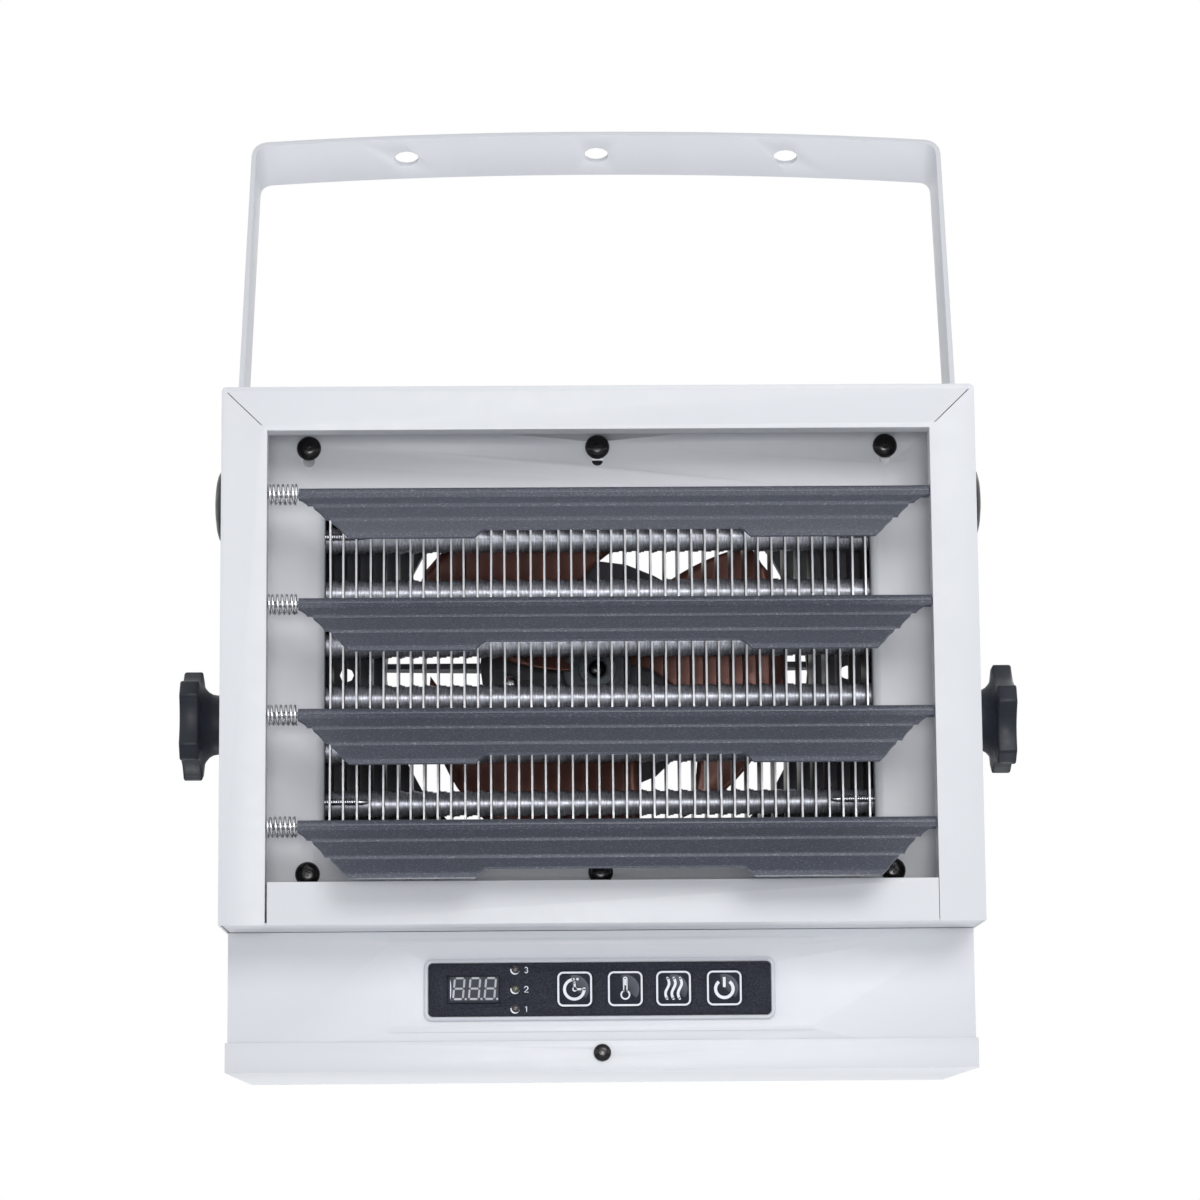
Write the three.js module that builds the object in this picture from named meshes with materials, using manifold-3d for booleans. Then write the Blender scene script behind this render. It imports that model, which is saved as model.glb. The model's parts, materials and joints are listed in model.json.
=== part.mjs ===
// Ceiling mounted fan heater, in millimetres, +Z up, viewer on the -Y side.
// The origin is on the underside of the base cover, at mid width, straight below the tilt axis.
// A folded sheet cabinet holds a finned heating element behind four adjustable louvers, a three
// bladed fan behind it and a control box below. A bowed strap carries the cabinet on two clamp knobs.
import * as THREE from "three";
import { mergeVertices } from "three/addons/utils/BufferGeometryUtils.js";
import Module from "manifold-3d";

const wasm = await Module();
wasm.setup();

// ---------------------------------------------------------------- driving dimensions

const clearance = 0.3; // between pieces that touch or slide
const sheet = 1.0; // folded cabinet sheet
const cabinet = { width: 360, depth: 215, height: 257, frontY: -92, cornerRadius: 2.5 };
const flange = { top: 21.2, side: 21.8, bottom: 20.1, lip: 12, mitreSlit: 0.4 };
const controlBox = { height: 67, setback: 46, sideInset: 1.1, topFlange: 10, standoffRadius: 3 };
const rib = { length: 204, height: 3, proud: 0.7, fromEnd: 5.5 };
const cover = { sheet: 0.8, lip: 14.3 };
const slot = { length: 16, width: 1.8, fromSide: 3 };

const baffle = {
  setback: 50, sideMargin: 45.2, bottomMargin: 46, topMargin: 45, returnDepth: 14, bend: 3,
};
const truss = {
  headRadius: 6, headHeight: 3.2, shankRadius: 2, length: 8, point: 2,
  besideOpening: 7.7, fromBottom: 28, fromTop: 20.2,
};
const keyhole = { halfWidth: 2.75, length: 6.5 };
const duct = { sideSpace: 22.7, fromFloor: 22, fromTop: 14, sideFlange: 19, endFlange: 12.7 };
const shroud = {
  setback: 110, orificeRadius: 105.8, rim: 8, axisAboveMiddle: 5.5, holeRadius: 3.5, holeBeside: 19.7,
};
const rearOpening = { sideMargin: 42, bottomMargin: 31, topMargin: 20, radius: 46, rimDepth: 5 };

const fin = { count: 41, sideGap: 2.05, thickness: 0.9, setback: 54, depth: 32, endGap: 1 };
const tube = {
  count: 6, inset: 17.75, radius: 6, sides: 4, overhang: 2, terminalRadius: 2, terminalLength: 13,
};
const elementScrew = { headRadius: 4, headHeight: 2.2, radius: 2, point: 6, length: 24, setback: 58.5 };

const louver = {
  count: 4, fromFloor: 46.6, fromTop: 51.4, setback: 6, chord: 47, thickness: 1.2, centreX: 5.6,
  droopDegrees: 35, curlRadius: 3, pinRadius: 1.5, pinOverhang: 4.5, rearInset: 9.4, frontInset: 32.7,
  tailLength: 4, shoulder: 4.4, scallopFrom: 5, frontFold: 2, frontDrop: 1.2,
};
const bead = { places: [14, 30], width: 4, height: 1.2, notch: 1.6 };
const edgeNotch = { half: 59.5, chamfer: 5, depth: 7 };
const spring = { wire: 1.15, outerDiameter: 10.4, turns: 6, steps: 8, sides: 5 };

const fan = {
  blades: 3, tipGap: 6.5, metal: 1.2, sweep: 22, camber: 3, face: 97,
  hubRadius: 17, bossRadius: 5.7, bossStep: 4, faceStep: 5.5, rear: 7, tail: 2,
};
const motor = {
  radius: 41, bellRadius: 33, flangeRadius: 52, length: 50, shaftRadius: 4, boltCircle: 44, boltDegrees: 5, boltRadius: 2,
};
const yoke = {
  behindBlades: 13, plateRadius: 59, plate: 2, metal: 2.8, armDepth: 12, besideOrifice: 16.2, tab: 14,
};

const pivot = { setback: 92, height: 106 }; // tilt axis, from the cabinet's front and floor
const strap = {
  width: 36, metal: 2.5, leanDegrees: 20.3, reach: 349.5, bow: 11, bend: 9,
  holeRadius: 6.75, holePitch: 103,
};
const washer = { radius: 20, thickness: 2.4 };
const knob = {
  lobes: 5, tipRadius: 27.5, valleyRadius: 21.5, lobeWidth: 11, corner: 1, head: 9.3, height: 19.6,
  neckTop: 19.5, neckBottom: 14.6, studRadius: 4, studLength: 15,
  restDegrees: { left: 36, right: 14 },
};
const clampNut = { radius: 8.5, length: 7 };
const plug = { radius: 18, proud: 6, neckRadius: 13.6, neckLength: 5, setback: 30, fromTop: 53 };

const panel = {
  centreX: -1, centreHeight: 38.7, width: 164, height: 25.4, rim: 1.7, proud: 1.2, radius: 2.2,
  film: 0.9, windowInset: 4,
};
const display = { width: 24.5, height: 12.6, x: -61.6, recess: 0.2 };
const lamp = { radius: 1.9, x: -41.6, pitch: 9.3, length: 3.3, dome: 0.5 };
const key = {
  size: 16.6, radius: 3, proud: 0.5, travel: 0.5, stemRadius: 2, cap: 1.9, places: [-13, 11.2, 34.3, 58.6],
};
const keyNames = ["timer", "temperature", "mode", "power"];
const board = { height: 24, thickness: 1.6, setback: 2.5, postInset: 4 };
const gland = {
  radius: 12.5, neckRadius: 8.6, boreRadius: 5, neckLength: 5, nose: 6, fromEnd: 60.9, height: 36,
};
const terminalBlock = {
  width: 54, depth: 22, height: 19, poles: 6, wall: 1.2, wellDepth: 6, x: 60, y: 70,
};
const cutout = { radius: 8, height: 9, flange: 3, flangeMetal: 1.2, y: -12, fromTop: 67 };
const coverScrew = {
  radius: 4.2, headHeight: 2.4, shankRadius: 1.9, length: 7, point: 1.5, height: 8.4,
};

// ---------------------------------------------------------------- places worked out from them

const frontY = cabinet.frontY;
const rearY = frontY + cabinet.depth;
const floorZ = controlBox.height;
const topZ = floorZ + cabinet.height;
const halfWidth = cabinet.width / 2;
const innerHalf = halfWidth - sheet - clearance;
const openingHalf = halfWidth - flange.side;
const openingTop = topZ - flange.top;
const pivotY = frontY + pivot.setback;
const pivotZ = floorZ + pivot.height;
const faceY = frontY + controlBox.setback;
const boxHalf = halfWidth - controlBox.sideInset;
const baffleY = frontY + baffle.setback;
const shroudY = frontY + shroud.setback;
const fanZ = (floorZ + topZ) / 2 + shroud.axisAboveMiddle;
const boardY = faceY + board.setback;
const washerX = halfWidth + clearance;
const strapInner = washerX + washer.thickness + clearance;
const strapOuter = strapInner + strap.metal;
const tipRadius = shroud.orificeRadius - fan.tipGap;
const baffleHalf = innerHalf - baffle.sideMargin;
const baffleOpening = [floorZ + baffle.bottomMargin, topZ - baffle.topMargin];
const trussX = baffleHalf + truss.besideOpening;
const ductHalf = innerHalf - duct.sideSpace;
const yokeReach = shroud.orificeRadius + yoke.besideOrifice;
const finPitch = (2 * (baffleHalf - fin.sideGap) - fin.thickness) / (fin.count - 1);
const tubePitch = (baffleOpening[1] - baffleOpening[0] - 2 * tube.inset) / (tube.count - 1);
const louverPitch = (cabinet.height - louver.fromFloor - louver.fromTop) / (louver.count - 1);
const slatHalf = { rear: openingHalf - louver.rearInset, front: openingHalf - louver.frontInset };
const slatEnd = openingHalf - clearance - louver.centreX;
const pinEnd = openingHalf + louver.pinOverhang;
const plugZ = topZ - plug.fromTop;
const glandX = boxHalf - gland.fromEnd;
const sides = [["left", -1], ["right", 1]];
const ordered = (a, b) => [a, b].sort((p, q) => p - q);

// ---------------------------------------------------------------- shape helpers

const degrees = THREE.MathUtils.degToRad;

// A closed three.js geometry as a solid that can be joined and cut.
function solid(geometry) {
  const bare = new THREE.BufferGeometry();
  bare.setAttribute("position", geometry.getAttribute("position"));
  bare.setIndex(geometry.index);
  const merged = mergeVertices(bare, 1e-4);
  const triVerts = new Uint32Array(merged.index.array);
  const vertProperties = merged.getAttribute("position").array;
  const made = new wasm.Manifold(new wasm.Mesh({ numProp: 3, vertProperties, triVerts }));
  if (made.volume() > 0) return made;
  for (let i = 0; i < triVerts.length; i += 3) {
    [triVerts[i + 1], triVerts[i + 2]] = [triVerts[i + 2], triVerts[i + 1]];
  }
  return new wasm.Manifold(new wasm.Mesh({ numProp: 3, vertProperties, triVerts }));
}

// The faces of a solid as a three.js geometry.
function geometryOf(body) {
  const mesh = body.getMesh();
  const geometry = new THREE.BufferGeometry();
  geometry.setAttribute("position", new THREE.BufferAttribute(mesh.vertProperties, 3));
  geometry.setIndex(new THREE.BufferAttribute(mesh.triVerts, 1));
  return geometry;
}

const union = (bodies) => bodies.reduce((sum, body) => sum.add(body));
const cut = (body, tools) => tools.reduce((rest, tool) => rest.subtract(tool), body);

function box([x0, x1], [y0, y1], [z0, z1]) {
  const geometry = new THREE.BoxGeometry(x1 - x0, y1 - y0, z1 - z0);
  return solid(geometry.translate((x0 + x1) / 2, (y0 + y1) / 2, (z0 + z1) / 2));
}

const extruded = (shape, depth, curveSegments = 6) =>
  new THREE.ExtrudeGeometry(shape, { depth, bevelEnabled: false, curveSegments });

// Outlines drawn in XZ, YZ or XY and extruded along the third axis.
const prismY = (shape, [y0, y1], curves) =>
  solid(extruded(shape, y1 - y0, curves).rotateX(Math.PI / 2).translate(0, y1, 0));
const turnToX = new THREE.Matrix4().makeBasis(
  new THREE.Vector3(0, 1, 0), new THREE.Vector3(0, 0, 1), new THREE.Vector3(1, 0, 0));
const prismX = (shape, [x0, x1], curves) =>
  solid(extruded(shape, x1 - x0, curves).applyMatrix4(turnToX).translate(x0, 0, 0));
const prismZ = (shape, [z0, z1], curves) =>
  solid(extruded(shape, z1 - z0, curves).translate(0, 0, z0));

// A round bar between two values on one axis; at gives the other two coordinates in order.
function bar(axis, radius, [a, b], [u, v], segments = 12) {
  const geometry = new THREE.CylinderGeometry(radius, radius, b - a, segments);
  const middle = (a + b) / 2;
  if (axis === "x") geometry.rotateZ(-Math.PI / 2).translate(middle, u, v);
  if (axis === "y") geometry.translate(u, middle, v);
  if (axis === "z") geometry.rotateX(Math.PI / 2).translate(u, v, middle);
  return solid(geometry);
}

// A revolved profile of [radius, height] pairs, starting and ending on the axis, along +Y.
function turned(profile, segments) {
  const points = profile.map(([r, y]) => new THREE.Vector2(r, y));
  return solid(new THREE.LatheGeometry(points, segments));
}

function moved(body, { x = 0, y = 0, z = 0, turn = [0, 0, 0] }) {
  const matrix = new THREE.Matrix4().makeRotationFromEuler(new THREE.Euler(...turn.map(degrees)));
  return solid(geometryOf(body).applyMatrix4(matrix).translate(x, y, z));
}

function roundedRectangle(cx, cy, width, height, radius) {
  const [x, y] = [cx - width / 2, cy - height / 2];
  const shape = new THREE.Shape();
  shape.moveTo(x + radius, y);
  shape.lineTo(x + width - radius, y);
  shape.absarc(x + width - radius, y + radius, radius, -Math.PI / 2, 0);
  shape.lineTo(x + width, y + height - radius);
  shape.absarc(x + width - radius, y + height - radius, radius, 0, Math.PI / 2);
  shape.lineTo(x + radius, y + height);
  shape.absarc(x + radius, y + height - radius, radius, Math.PI / 2, Math.PI);
  shape.lineTo(x, y + radius);
  shape.absarc(x + radius, y + radius, radius, Math.PI, 1.5 * Math.PI);
  return shape;
}

// ---------------------------------------------------------------- materials and the tree of parts

const finish = (color, roughness, metalness = 0) => ({ color, roughness, metalness });
const white = finish(0xe6e9f0, 0.42);
const charcoal = finish(0x4b4e58, 0.62);
const blackSteel = finish(0x1b1c20, 0.4, 0.4);
const galvanised = finish(0xb4bac2, 0.34, 0.9);
const springSteel = finish(0xd2d6dc, 0.2, 1);
const copperBrown = finish(0x83503f, 0.48, 0.35);
const motorBlack = finish(0x23242a, 0.5, 0.3);
const zinc = finish(0x9fa4ab, 0.35, 0.85);
const knobPlastic = finish(0x2b2c32, 0.6);
const darkPlastic = finish(0x1a1b20, 0.5);
const panelBlack = finish(0x23252f, 0.22);
const keyBlack = finish(0x2c2f3a, 0.2);
const bezelGrey = finish(0xcfd3da, 0.4);
const lampGrey = finish(0x8d8f96, 0.3);
const boardGreen = finish(0x1f5a3a, 0.55);
const terminalCream = finish(0xd9d4c4, 0.55);

const heater = new THREE.Group();

// Adds one named piece to a group, at a place and with a turn in degrees about X, Y and Z.
function add(group, name, body, look, at = [0, 0, 0], turn = [0, 0, 0]) {
  const mesh = new THREE.Mesh(geometryOf(body), new THREE.MeshStandardMaterial(look));
  mesh.name = name;
  mesh.position.set(...at);
  mesh.rotation.set(...turn.map(degrees));
  group.add(mesh);
  return mesh;
}

function addGroup(at, turn = [0, 0, 0]) {
  const group = new THREE.Group();
  group.position.set(...at);
  group.rotation.set(...turn.map(degrees));
  heater.add(group);
  return group;
}

// ---------------------------------------------------------------- cabinet

const louverY = frontY + louver.setback;
const louverZ = (index) => floorZ + louver.fromFloor + index * louverPitch;
const louverIndexes = [...Array(louver.count).keys()];
const beyond = 1; // how far a cutter runs past what it cuts

// Top and both sides, with the front and rear flanges folded in and the lip folded back.
function casingShell() {
  const outline = (half, top, radius) => {
    const shape = new THREE.Shape();
    shape.moveTo(-half, floorZ);
    shape.lineTo(half, floorZ);
    shape.lineTo(half, top - radius);
    shape.absarc(half - radius, top - radius, radius, 0, Math.PI / 2);
    shape.lineTo(radius - half, top);
    shape.absarc(radius - half, top - radius, radius, Math.PI / 2, Math.PI);
    return shape;
  };
  const skin = prismY(outline(halfWidth, topZ, cabinet.cornerRadius), [frontY, rearY], 4);
  const inner = halfWidth - sheet;
  const inside = box([-inner, inner], [frontY + sheet, rearY - sheet], [floorZ - beyond, topZ - sheet]);
  const mouth = box([-openingHalf, openingHalf], [frontY - beyond, frontY + flange.lip + beyond],
    [floorZ - beyond, openingTop]);
  const rearHalf = halfWidth - flange.lip;
  const rearMouth = box([-rearHalf, rearHalf], [rearY - 2 * sheet, rearY + beyond],
    [floorZ - beyond, topZ - flange.lip]);
  const lipHalf = openingHalf + sheet;
  const lips = box([-lipHalf, lipHalf], [frontY + sheet / 2, frontY + flange.lip],
    [floorZ + 2 * sheet, openingTop + sheet]);
  const pinHoles = louverIndexes.map((i) =>
    bar("x", louver.pinRadius + clearance, [-pinEnd, pinEnd], [louverY, louverZ(i)], 8));
  const across = [-halfWidth - beyond, halfWidth + beyond];
  const sideHoles = [
    bar("x", knob.studRadius + 2 * clearance, across, [pivotY, pivotZ], 12),
    bar("x", plug.neckRadius + clearance, across, [frontY + plug.setback, plugZ], 16),
  ];
  const mitre = sides.map(([, s]) => {
    const length = Math.hypot(flange.side, flange.top) - 3 * cabinet.cornerRadius;
    const angle = THREE.MathUtils.radToDeg(Math.atan2(flange.top, flange.side));
    const slit = box([-length / 2, length / 2], [-sheet, 2 * sheet],
      [-flange.mitreSlit / 2, flange.mitreSlit / 2]);
    return moved(slit, {
      x: s * (openingHalf + flange.side / 2), y: frontY, z: openingTop + flange.top / 2,
      turn: [0, -s * angle, 0],
    });
  });
  const folded = cut(skin, [inside, rearMouth]).add(lips);
  return cut(folded, [mouth, ...pinHoles, ...sideHoles, ...mitre]);
}

// The floor, with the lower front flange that stands between the side flanges.
function bottomPanel() {
  const half = openingHalf - clearance;
  const lipTop = floorZ + flange.bottom;
  const slots = sides.map(([, s]) => {
    const near = innerHalf - slot.fromSide;
    const x = ordered(s * near, s * (near - slot.length));
    const y = [faceY - clearance - slot.width, faceY - clearance];
    return box(x, y, [floorZ - beyond, floorZ + 2 * sheet]);
  });
  const body = union([
    box([-innerHalf, innerHalf], [frontY + sheet + clearance, rearY - sheet - clearance],
      [floorZ, floorZ + sheet]),
    box([-half, half], [frontY, frontY + sheet], [floorZ, lipTop]),
    box([-half, half], [frontY, frontY + 3 * sheet], [floorZ, floorZ + sheet]),
    box([-half, half], [frontY, frontY + flange.lip], [lipTop - sheet, lipTop]),
  ]);
  return cut(body, slots);
}

function rearPanel() {
  const half = halfWidth - sheet;
  const plate = box([-half, half], [rearY + clearance, rearY + clearance + sheet],
    [floorZ + sheet, topZ - sheet]);
  const y = [rearY - rearOpening.rimDepth, rearY + clearance + sheet];
  const { sideMargin, bottomMargin, topMargin, radius } = rearOpening;
  const middle = (floorZ + bottomMargin + topZ - topMargin) / 2;
  const opening = (grow, range) => {
    const wide = 2 * (halfWidth - sideMargin + grow);
    const high = cabinet.height - bottomMargin - topMargin + 2 * grow;
    return prismY(roundedRectangle(0, middle, wide, high, radius + grow), range, 5);
  };
  return plate.add(opening(sheet, y)).subtract(opening(0, [y[0] - beyond, y[1] + beyond]));
}

// The plate around the heating element, its side edges rolled back into deep returns.
function bafflePlate() {
  const innerTop = topZ - sheet - clearance;
  const z = [floorZ + sheet + clearance, innerTop];
  const plate = box([-innerHalf, innerHalf], [baffleY, baffleY + sheet], z);
  const edge = baffleHalf + baffle.bend + sheet;
  const window = box([-edge, edge], [baffleY - beyond, baffleY + 2 * sheet], baffleOpening);
  const returns = sides.map(([, s]) => {
    const r = baffle.bend;
    const shape = new THREE.Shape();
    const cx = baffleHalf + sheet + r;
    shape.moveTo(cx + sheet, baffleY);
    shape.lineTo(cx, baffleY);
    shape.absarc(cx, baffleY + r + sheet, r + sheet, -Math.PI / 2, -Math.PI, true);
    shape.lineTo(baffleHalf, baffleY + baffle.returnDepth);
    shape.lineTo(baffleHalf + sheet, baffleY + baffle.returnDepth);
    shape.lineTo(baffleHalf + sheet, baffleY + r + sheet);
    shape.absarc(cx, baffleY + r + sheet, r, Math.PI, 1.5 * Math.PI);
    shape.lineTo(cx + sheet, baffleY + sheet);
    const right = prismZ(shape, baffleOpening, 4);
    return s > 0 ? right : solid(geometryOf(right).scale(-1, 1, 1));
  });
  const shankHole = truss.shankRadius + clearance;
  const screwHoles = baffleScrewPlaces.map(([x, z0, isTop]) => {
    const y = [baffleY - beyond, baffleY + 2 * sheet];
    if (!isTop) return bar("y", shankHole, y, [x, z0], 8);
    const [wide, long] = [2 * keyhole.halfWidth, 2 * keyhole.halfWidth + keyhole.length];
    return prismY(roundedRectangle(x, z0 - keyhole.length / 2, wide, long, keyhole.halfWidth - 0.01), y, 4);
  });
  const sideHoles = elementScrewPlaces.map(([s, z0]) =>
    bar("x", elementScrew.radius + clearance,
      ordered(s * (baffleHalf - beyond), s * (baffleHalf + sheet + beyond)),
      [frontY + elementScrew.setback, z0], 8));
  return cut(union([plate.subtract(window), ...returns]), [...screwHoles, ...sideHoles]);
}

const baffleScrewPlaces = [topZ - truss.fromTop, floorZ + truss.fromBottom].flatMap((z, row) =>
  [-trussX, 0, trussX].map((x) => [x, z, row === 0]));
const tubeZ = (index) => baffleOpening[0] + tube.inset + index * tubePitch;
const elementScrewPlaces = [1, -1].flatMap((row) =>
  sides.map(([, s]) => [s, row > 0 ? tubeZ(tube.count - 1) : tubeZ(0)]));

// Four walls between the baffle and the fan plate, with a flange turned in behind the baffle.
function airDuct() {
  const y = [baffleY + sheet + clearance, shroudY - clearance];
  const z = [floorZ + duct.fromFloor, topZ - duct.fromTop];
  const outer = box([-ductHalf, ductHalf], y, z);
  const wall = ductHalf - sheet;
  const inside = box([-wall, wall], [y[0] + sheet, y[1] + beyond], [z[0] + sheet, z[1] - sheet]);
  const lip = ductHalf - duct.sideFlange;
  const mouth = box([-lip, lip], [y[0] - beyond, y[0] + 2 * sheet],
    [z[0] + duct.endFlange, z[1] - duct.endFlange]);
  const holes = baffleScrewPlaces.map(([x, z0]) =>
    bar("y", truss.shankRadius + clearance, [y[0] - beyond, y[0] + 2 * sheet], [x, z0], 8));
  return cut(outer, [inside, mouth, ...holes]);
}

// The partition with the round fan orifice and its rolled rim.
function fanShroud() {
  const z = [floorZ + sheet + clearance, topZ - sheet - clearance];
  const plate = box([-innerHalf, innerHalf], [shroudY, shroudY + sheet], z);
  const rimEnd = shroudY + shroud.rim;
  const rim = bar("y", shroud.orificeRadius + sheet, [shroudY, rimEnd], [0, fanZ], 32);
  const orifice = bar("y", shroud.orificeRadius, [shroudY - beyond, rimEnd + beyond], [0, fanZ], 32);
  const through = [shroudY - beyond, shroudY + 2 * sheet];
  const holeX = shroud.orificeRadius + shroud.holeBeside;
  const holes = sides.map(([, s]) => bar("y", shroud.holeRadius, through, [s * holeX, fanZ - sheet], 8));
  return cut(plate.add(rim), [orifice, ...holes]);
}

add(heater, "casing_shell", casingShell(), white);
add(heater, "bottom_panel", bottomPanel(), white);
add(heater, "rear_panel", rearPanel(), white);
add(heater, "baffle_plate", bafflePlate(), white);
add(heater, "air_duct", airDuct(), galvanised);
add(heater, "fan_shroud", fanShroud(), finish(0x5c6068, 0.5, 0.5));

// A domed truss head screw along +Y, its head's seat at y = 0 and its point inside.
function pointedScrew({ headRadius, headHeight, radius, length, point }, segments = 8) {
  return turned([
    [0, -headHeight], [headRadius * 0.55, -headHeight * 0.86], [headRadius * 0.9, -headHeight * 0.45],
    [headRadius, 0], [radius, 0], [radius, length - point], [0, length],
  ], segments);
}

const trussScrew = pointedScrew({ ...truss, radius: truss.shankRadius });
baffleScrewPlaces.forEach(([x, z], i) =>
  add(heater, `baffle_screw_${i + 1}`, trussScrew, blackSteel, [x, baffleY - clearance, z]));

const sideScrew = pointedScrew(elementScrew, 8);
elementScrewPlaces.forEach(([s, z], i) => {
  const head = s * (baffleHalf + sheet + clearance);
  add(heater, `element_screw_${i + 1}`, sideScrew, zinc, [head, frontY + elementScrew.setback, z],
    [0, 0, s * 90]);
});

// ---------------------------------------------------------------- heating element

// Vertical fins pressed on six tubes; each pair of tubes joins in a bend on the left and ends in
// two terminals on the right.
function heatingElement() {
  const y = [frontY + fin.setback, frontY + fin.setback + fin.depth];
  const tubeY = (y[0] + y[1]) / 2;
  const z = [baffleOpening[0] + fin.endGap, baffleOpening[1] - fin.endGap];
  const span = ((fin.count - 1) / 2) * finPitch;
  const fins = [...Array(fin.count).keys()].map((i) => {
    const x = i * finPitch - span;
    return box([x - fin.thickness / 2, x + fin.thickness / 2], y, z);
  });
  const end = span + fin.thickness + tube.overhang;
  const tubes = [...Array(tube.count).keys()].flatMap((i) => [
    bar("x", tube.radius, [-end, end], [tubeY, tubeZ(i)], tube.sides),
    bar("x", tube.terminalRadius, [end - 1, end + tube.terminalLength], [tubeY, tubeZ(i)], 6),
  ]);
  const bends = [...Array(tube.count / 2).keys()].map((i) => {
    const [low, high] = [tubeZ(2 * i), tubeZ(2 * i + 1)];
    const middle = new THREE.Vector3(-end, tubeY, (low + high) / 2);
    const curve = new HalfTurn(middle, (high - low) / 2);
    const section = new THREE.Shape();
    for (let k = 0; k < tube.sides; k += 1) {
      const a = (k * 2 * Math.PI) / tube.sides;
      const at = [tube.radius * Math.cos(a), tube.radius * Math.sin(a)];
      if (k === 0) section.moveTo(...at);
      else section.lineTo(...at);
    }
    const path = { steps: 8, bevelEnabled: false, extrudePath: curve };
    return solid(new THREE.ExtrudeGeometry(section, path));
  });
  const holes = elementScrewPlaces.map(([s, z0]) =>
    bar("x", elementScrew.radius + clearance,
      ordered(s * (end - elementScrew.length - tube.overhang), s * (end + tube.overhang)),
      [frontY + elementScrew.setback, z0], 6));
  return cut(union([...fins, ...tubes, ...bends]), holes);
}

// Half a circle in the XZ plane that bulges to -X, with its ends a little inside the tubes.
class HalfTurn extends THREE.Curve {
  constructor(middle, radius) {
    super();
    Object.assign(this, { middle, radius });
  }
  getPoint(t, target = new THREE.Vector3()) {
    const a = Math.PI * t;
    const x = this.middle.x + 0.5 - this.radius * Math.sin(a);
    return target.set(x, this.middle.y, this.middle.z - this.radius * Math.cos(a));
  }
}

add(heater, "heating_element", heatingElement(), galvanised);

// ---------------------------------------------------------------- fan, its motor and the yoke

// The edges of a blade from the hub to the tip: shares of the tip radius, and angles in degrees
// counter-clockwise from +X seen from the front.
const leadingShares = [0.12, 0.302, 0.483, 0.665, 0.846, 0.876, 0.906, 0.937, 0.967, 1];
const leadingDegrees = [137.8, 118.3, 98.9, 79.4, 60, 77.4, 94.8, 112.2, 129.6, 148.7];
const trailingShares = [0.12, 0.242, 0.363, 0.473, 0.574, 0.655, 0.735, 0.816, 0.906, 1];
const trailingDegrees = [183.6, 180.2, 176.9, 173.8, 171, 168.8, 166.5, 164.3, 161.8, 159.2];
const foremostDegrees = 60; // of the leading corner
const spreadDegrees = 115; // from there to the last of the trailing edge

// One pressed blade: a grid between its two edges, pitched so that the leading edge lies further back.
function fanBlade(turn) {
  const across = 5;
  const rows = leadingShares.length;
  const between = (a, b, share) => a + (b - a) * share;
  const place = (i, j, side) => {
    const share = j / across;
    const r = tipRadius * between(leadingShares[i], trailingShares[i], share);
    const ahead = between(leadingDegrees[i], trailingDegrees[i], share);
    const angle = degrees(turn + ahead);
    const pitch = fan.sweep * ((ahead - foremostDegrees) / spreadDegrees - 0.5);
    const camber = fan.camber * Math.sin(Math.PI * share) * (r / tipRadius);
    const y = camber - pitch + (side * fan.metal) / 2;
    return [r * Math.cos(angle), y, r * Math.sin(angle)];
  };
  const positions = [];
  const index = [];
  const columns = across + 1;
  for (const side of [-1, 1]) {
    for (let i = 0; i < rows; i += 1) {
      for (let j = 0; j < columns; j += 1) positions.push(...place(i, j, side));
    }
  }
  const at = (i, j, side) => side * rows * columns + i * columns + j;
  const quad = (a, b, c, d) => index.push(a, b, c, a, c, d);
  for (let i = 0; i < rows - 1; i += 1) {
    for (let j = 0; j < across; j += 1) {
      quad(at(i, j, 0), at(i + 1, j, 0), at(i + 1, j + 1, 0), at(i, j + 1, 0));
      quad(at(i, j, 1), at(i, j + 1, 1), at(i + 1, j + 1, 1), at(i + 1, j, 1));
    }
    quad(at(i, 0, 0), at(i, 0, 1), at(i + 1, 0, 1), at(i + 1, 0, 0));
    quad(at(i, across, 0), at(i + 1, across, 0), at(i + 1, across, 1), at(i, across, 1));
  }
  const last = rows - 1;
  for (let j = 0; j < across; j += 1) {
    quad(at(0, j, 0), at(0, j + 1, 0), at(0, j + 1, 1), at(0, j, 1));
    quad(at(last, j, 0), at(last, j, 1), at(last, j + 1, 1), at(last, j + 1, 0));
  }
  const geometry = new THREE.BufferGeometry();
  geometry.setAttribute("position", new THREE.BufferAttribute(new Float32Array(positions), 3));
  geometry.setIndex(index);
  return solid(geometry);
}

// The hub's face is at y = 0 and the blades lie behind it.
const bladeY = fan.sweep / 2 + fan.bossStep;
const hubEnd = bladeY + fan.rear + fan.tail;
function fanImpeller() {
  const hub = turned([
    [0, 0], [fan.bossRadius, 0], [fan.bossRadius, fan.bossStep], [fan.hubRadius, fan.faceStep],
    [fan.hubRadius, bladeY + fan.rear], [fan.bossRadius + fan.tail, hubEnd], [0, hubEnd],
  ], 16);
  const blades = [...Array(fan.blades).keys()].map((i) =>
    moved(fanBlade((i * 360) / fan.blades), { y: bladeY }));
  const bore = bar("y", motor.shaftRadius + clearance, [-beyond, hubEnd + beyond], [0, 0], 12);
  return union([hub, ...blades]).subtract(bore);
}

const fanY = frontY + fan.face;
const boltPlaces = sides.map(([side, s]) => {
  const angle = degrees(motor.boltDegrees);
  return [side, s * motor.boltCircle * Math.cos(angle), s * motor.boltCircle * Math.sin(angle)];
});
const fanAxle = addGroup([0, fanY, fanZ]);
add(fanAxle, "fan_impeller", fanImpeller(), copperBrown);
const yokeY = bladeY + yoke.behindBlades; // from the hub's face to the front of the mounting plate
const motorY = yokeY + yoke.plate + clearance;
const boreEnd = motor.length - yoke.plate;
const shaft = bar("y", motor.shaftRadius, [0, motorY + boreEnd - beyond], [0, 0], 12);
add(fanAxle, "motor_shaft", shaft, zinc);

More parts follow.
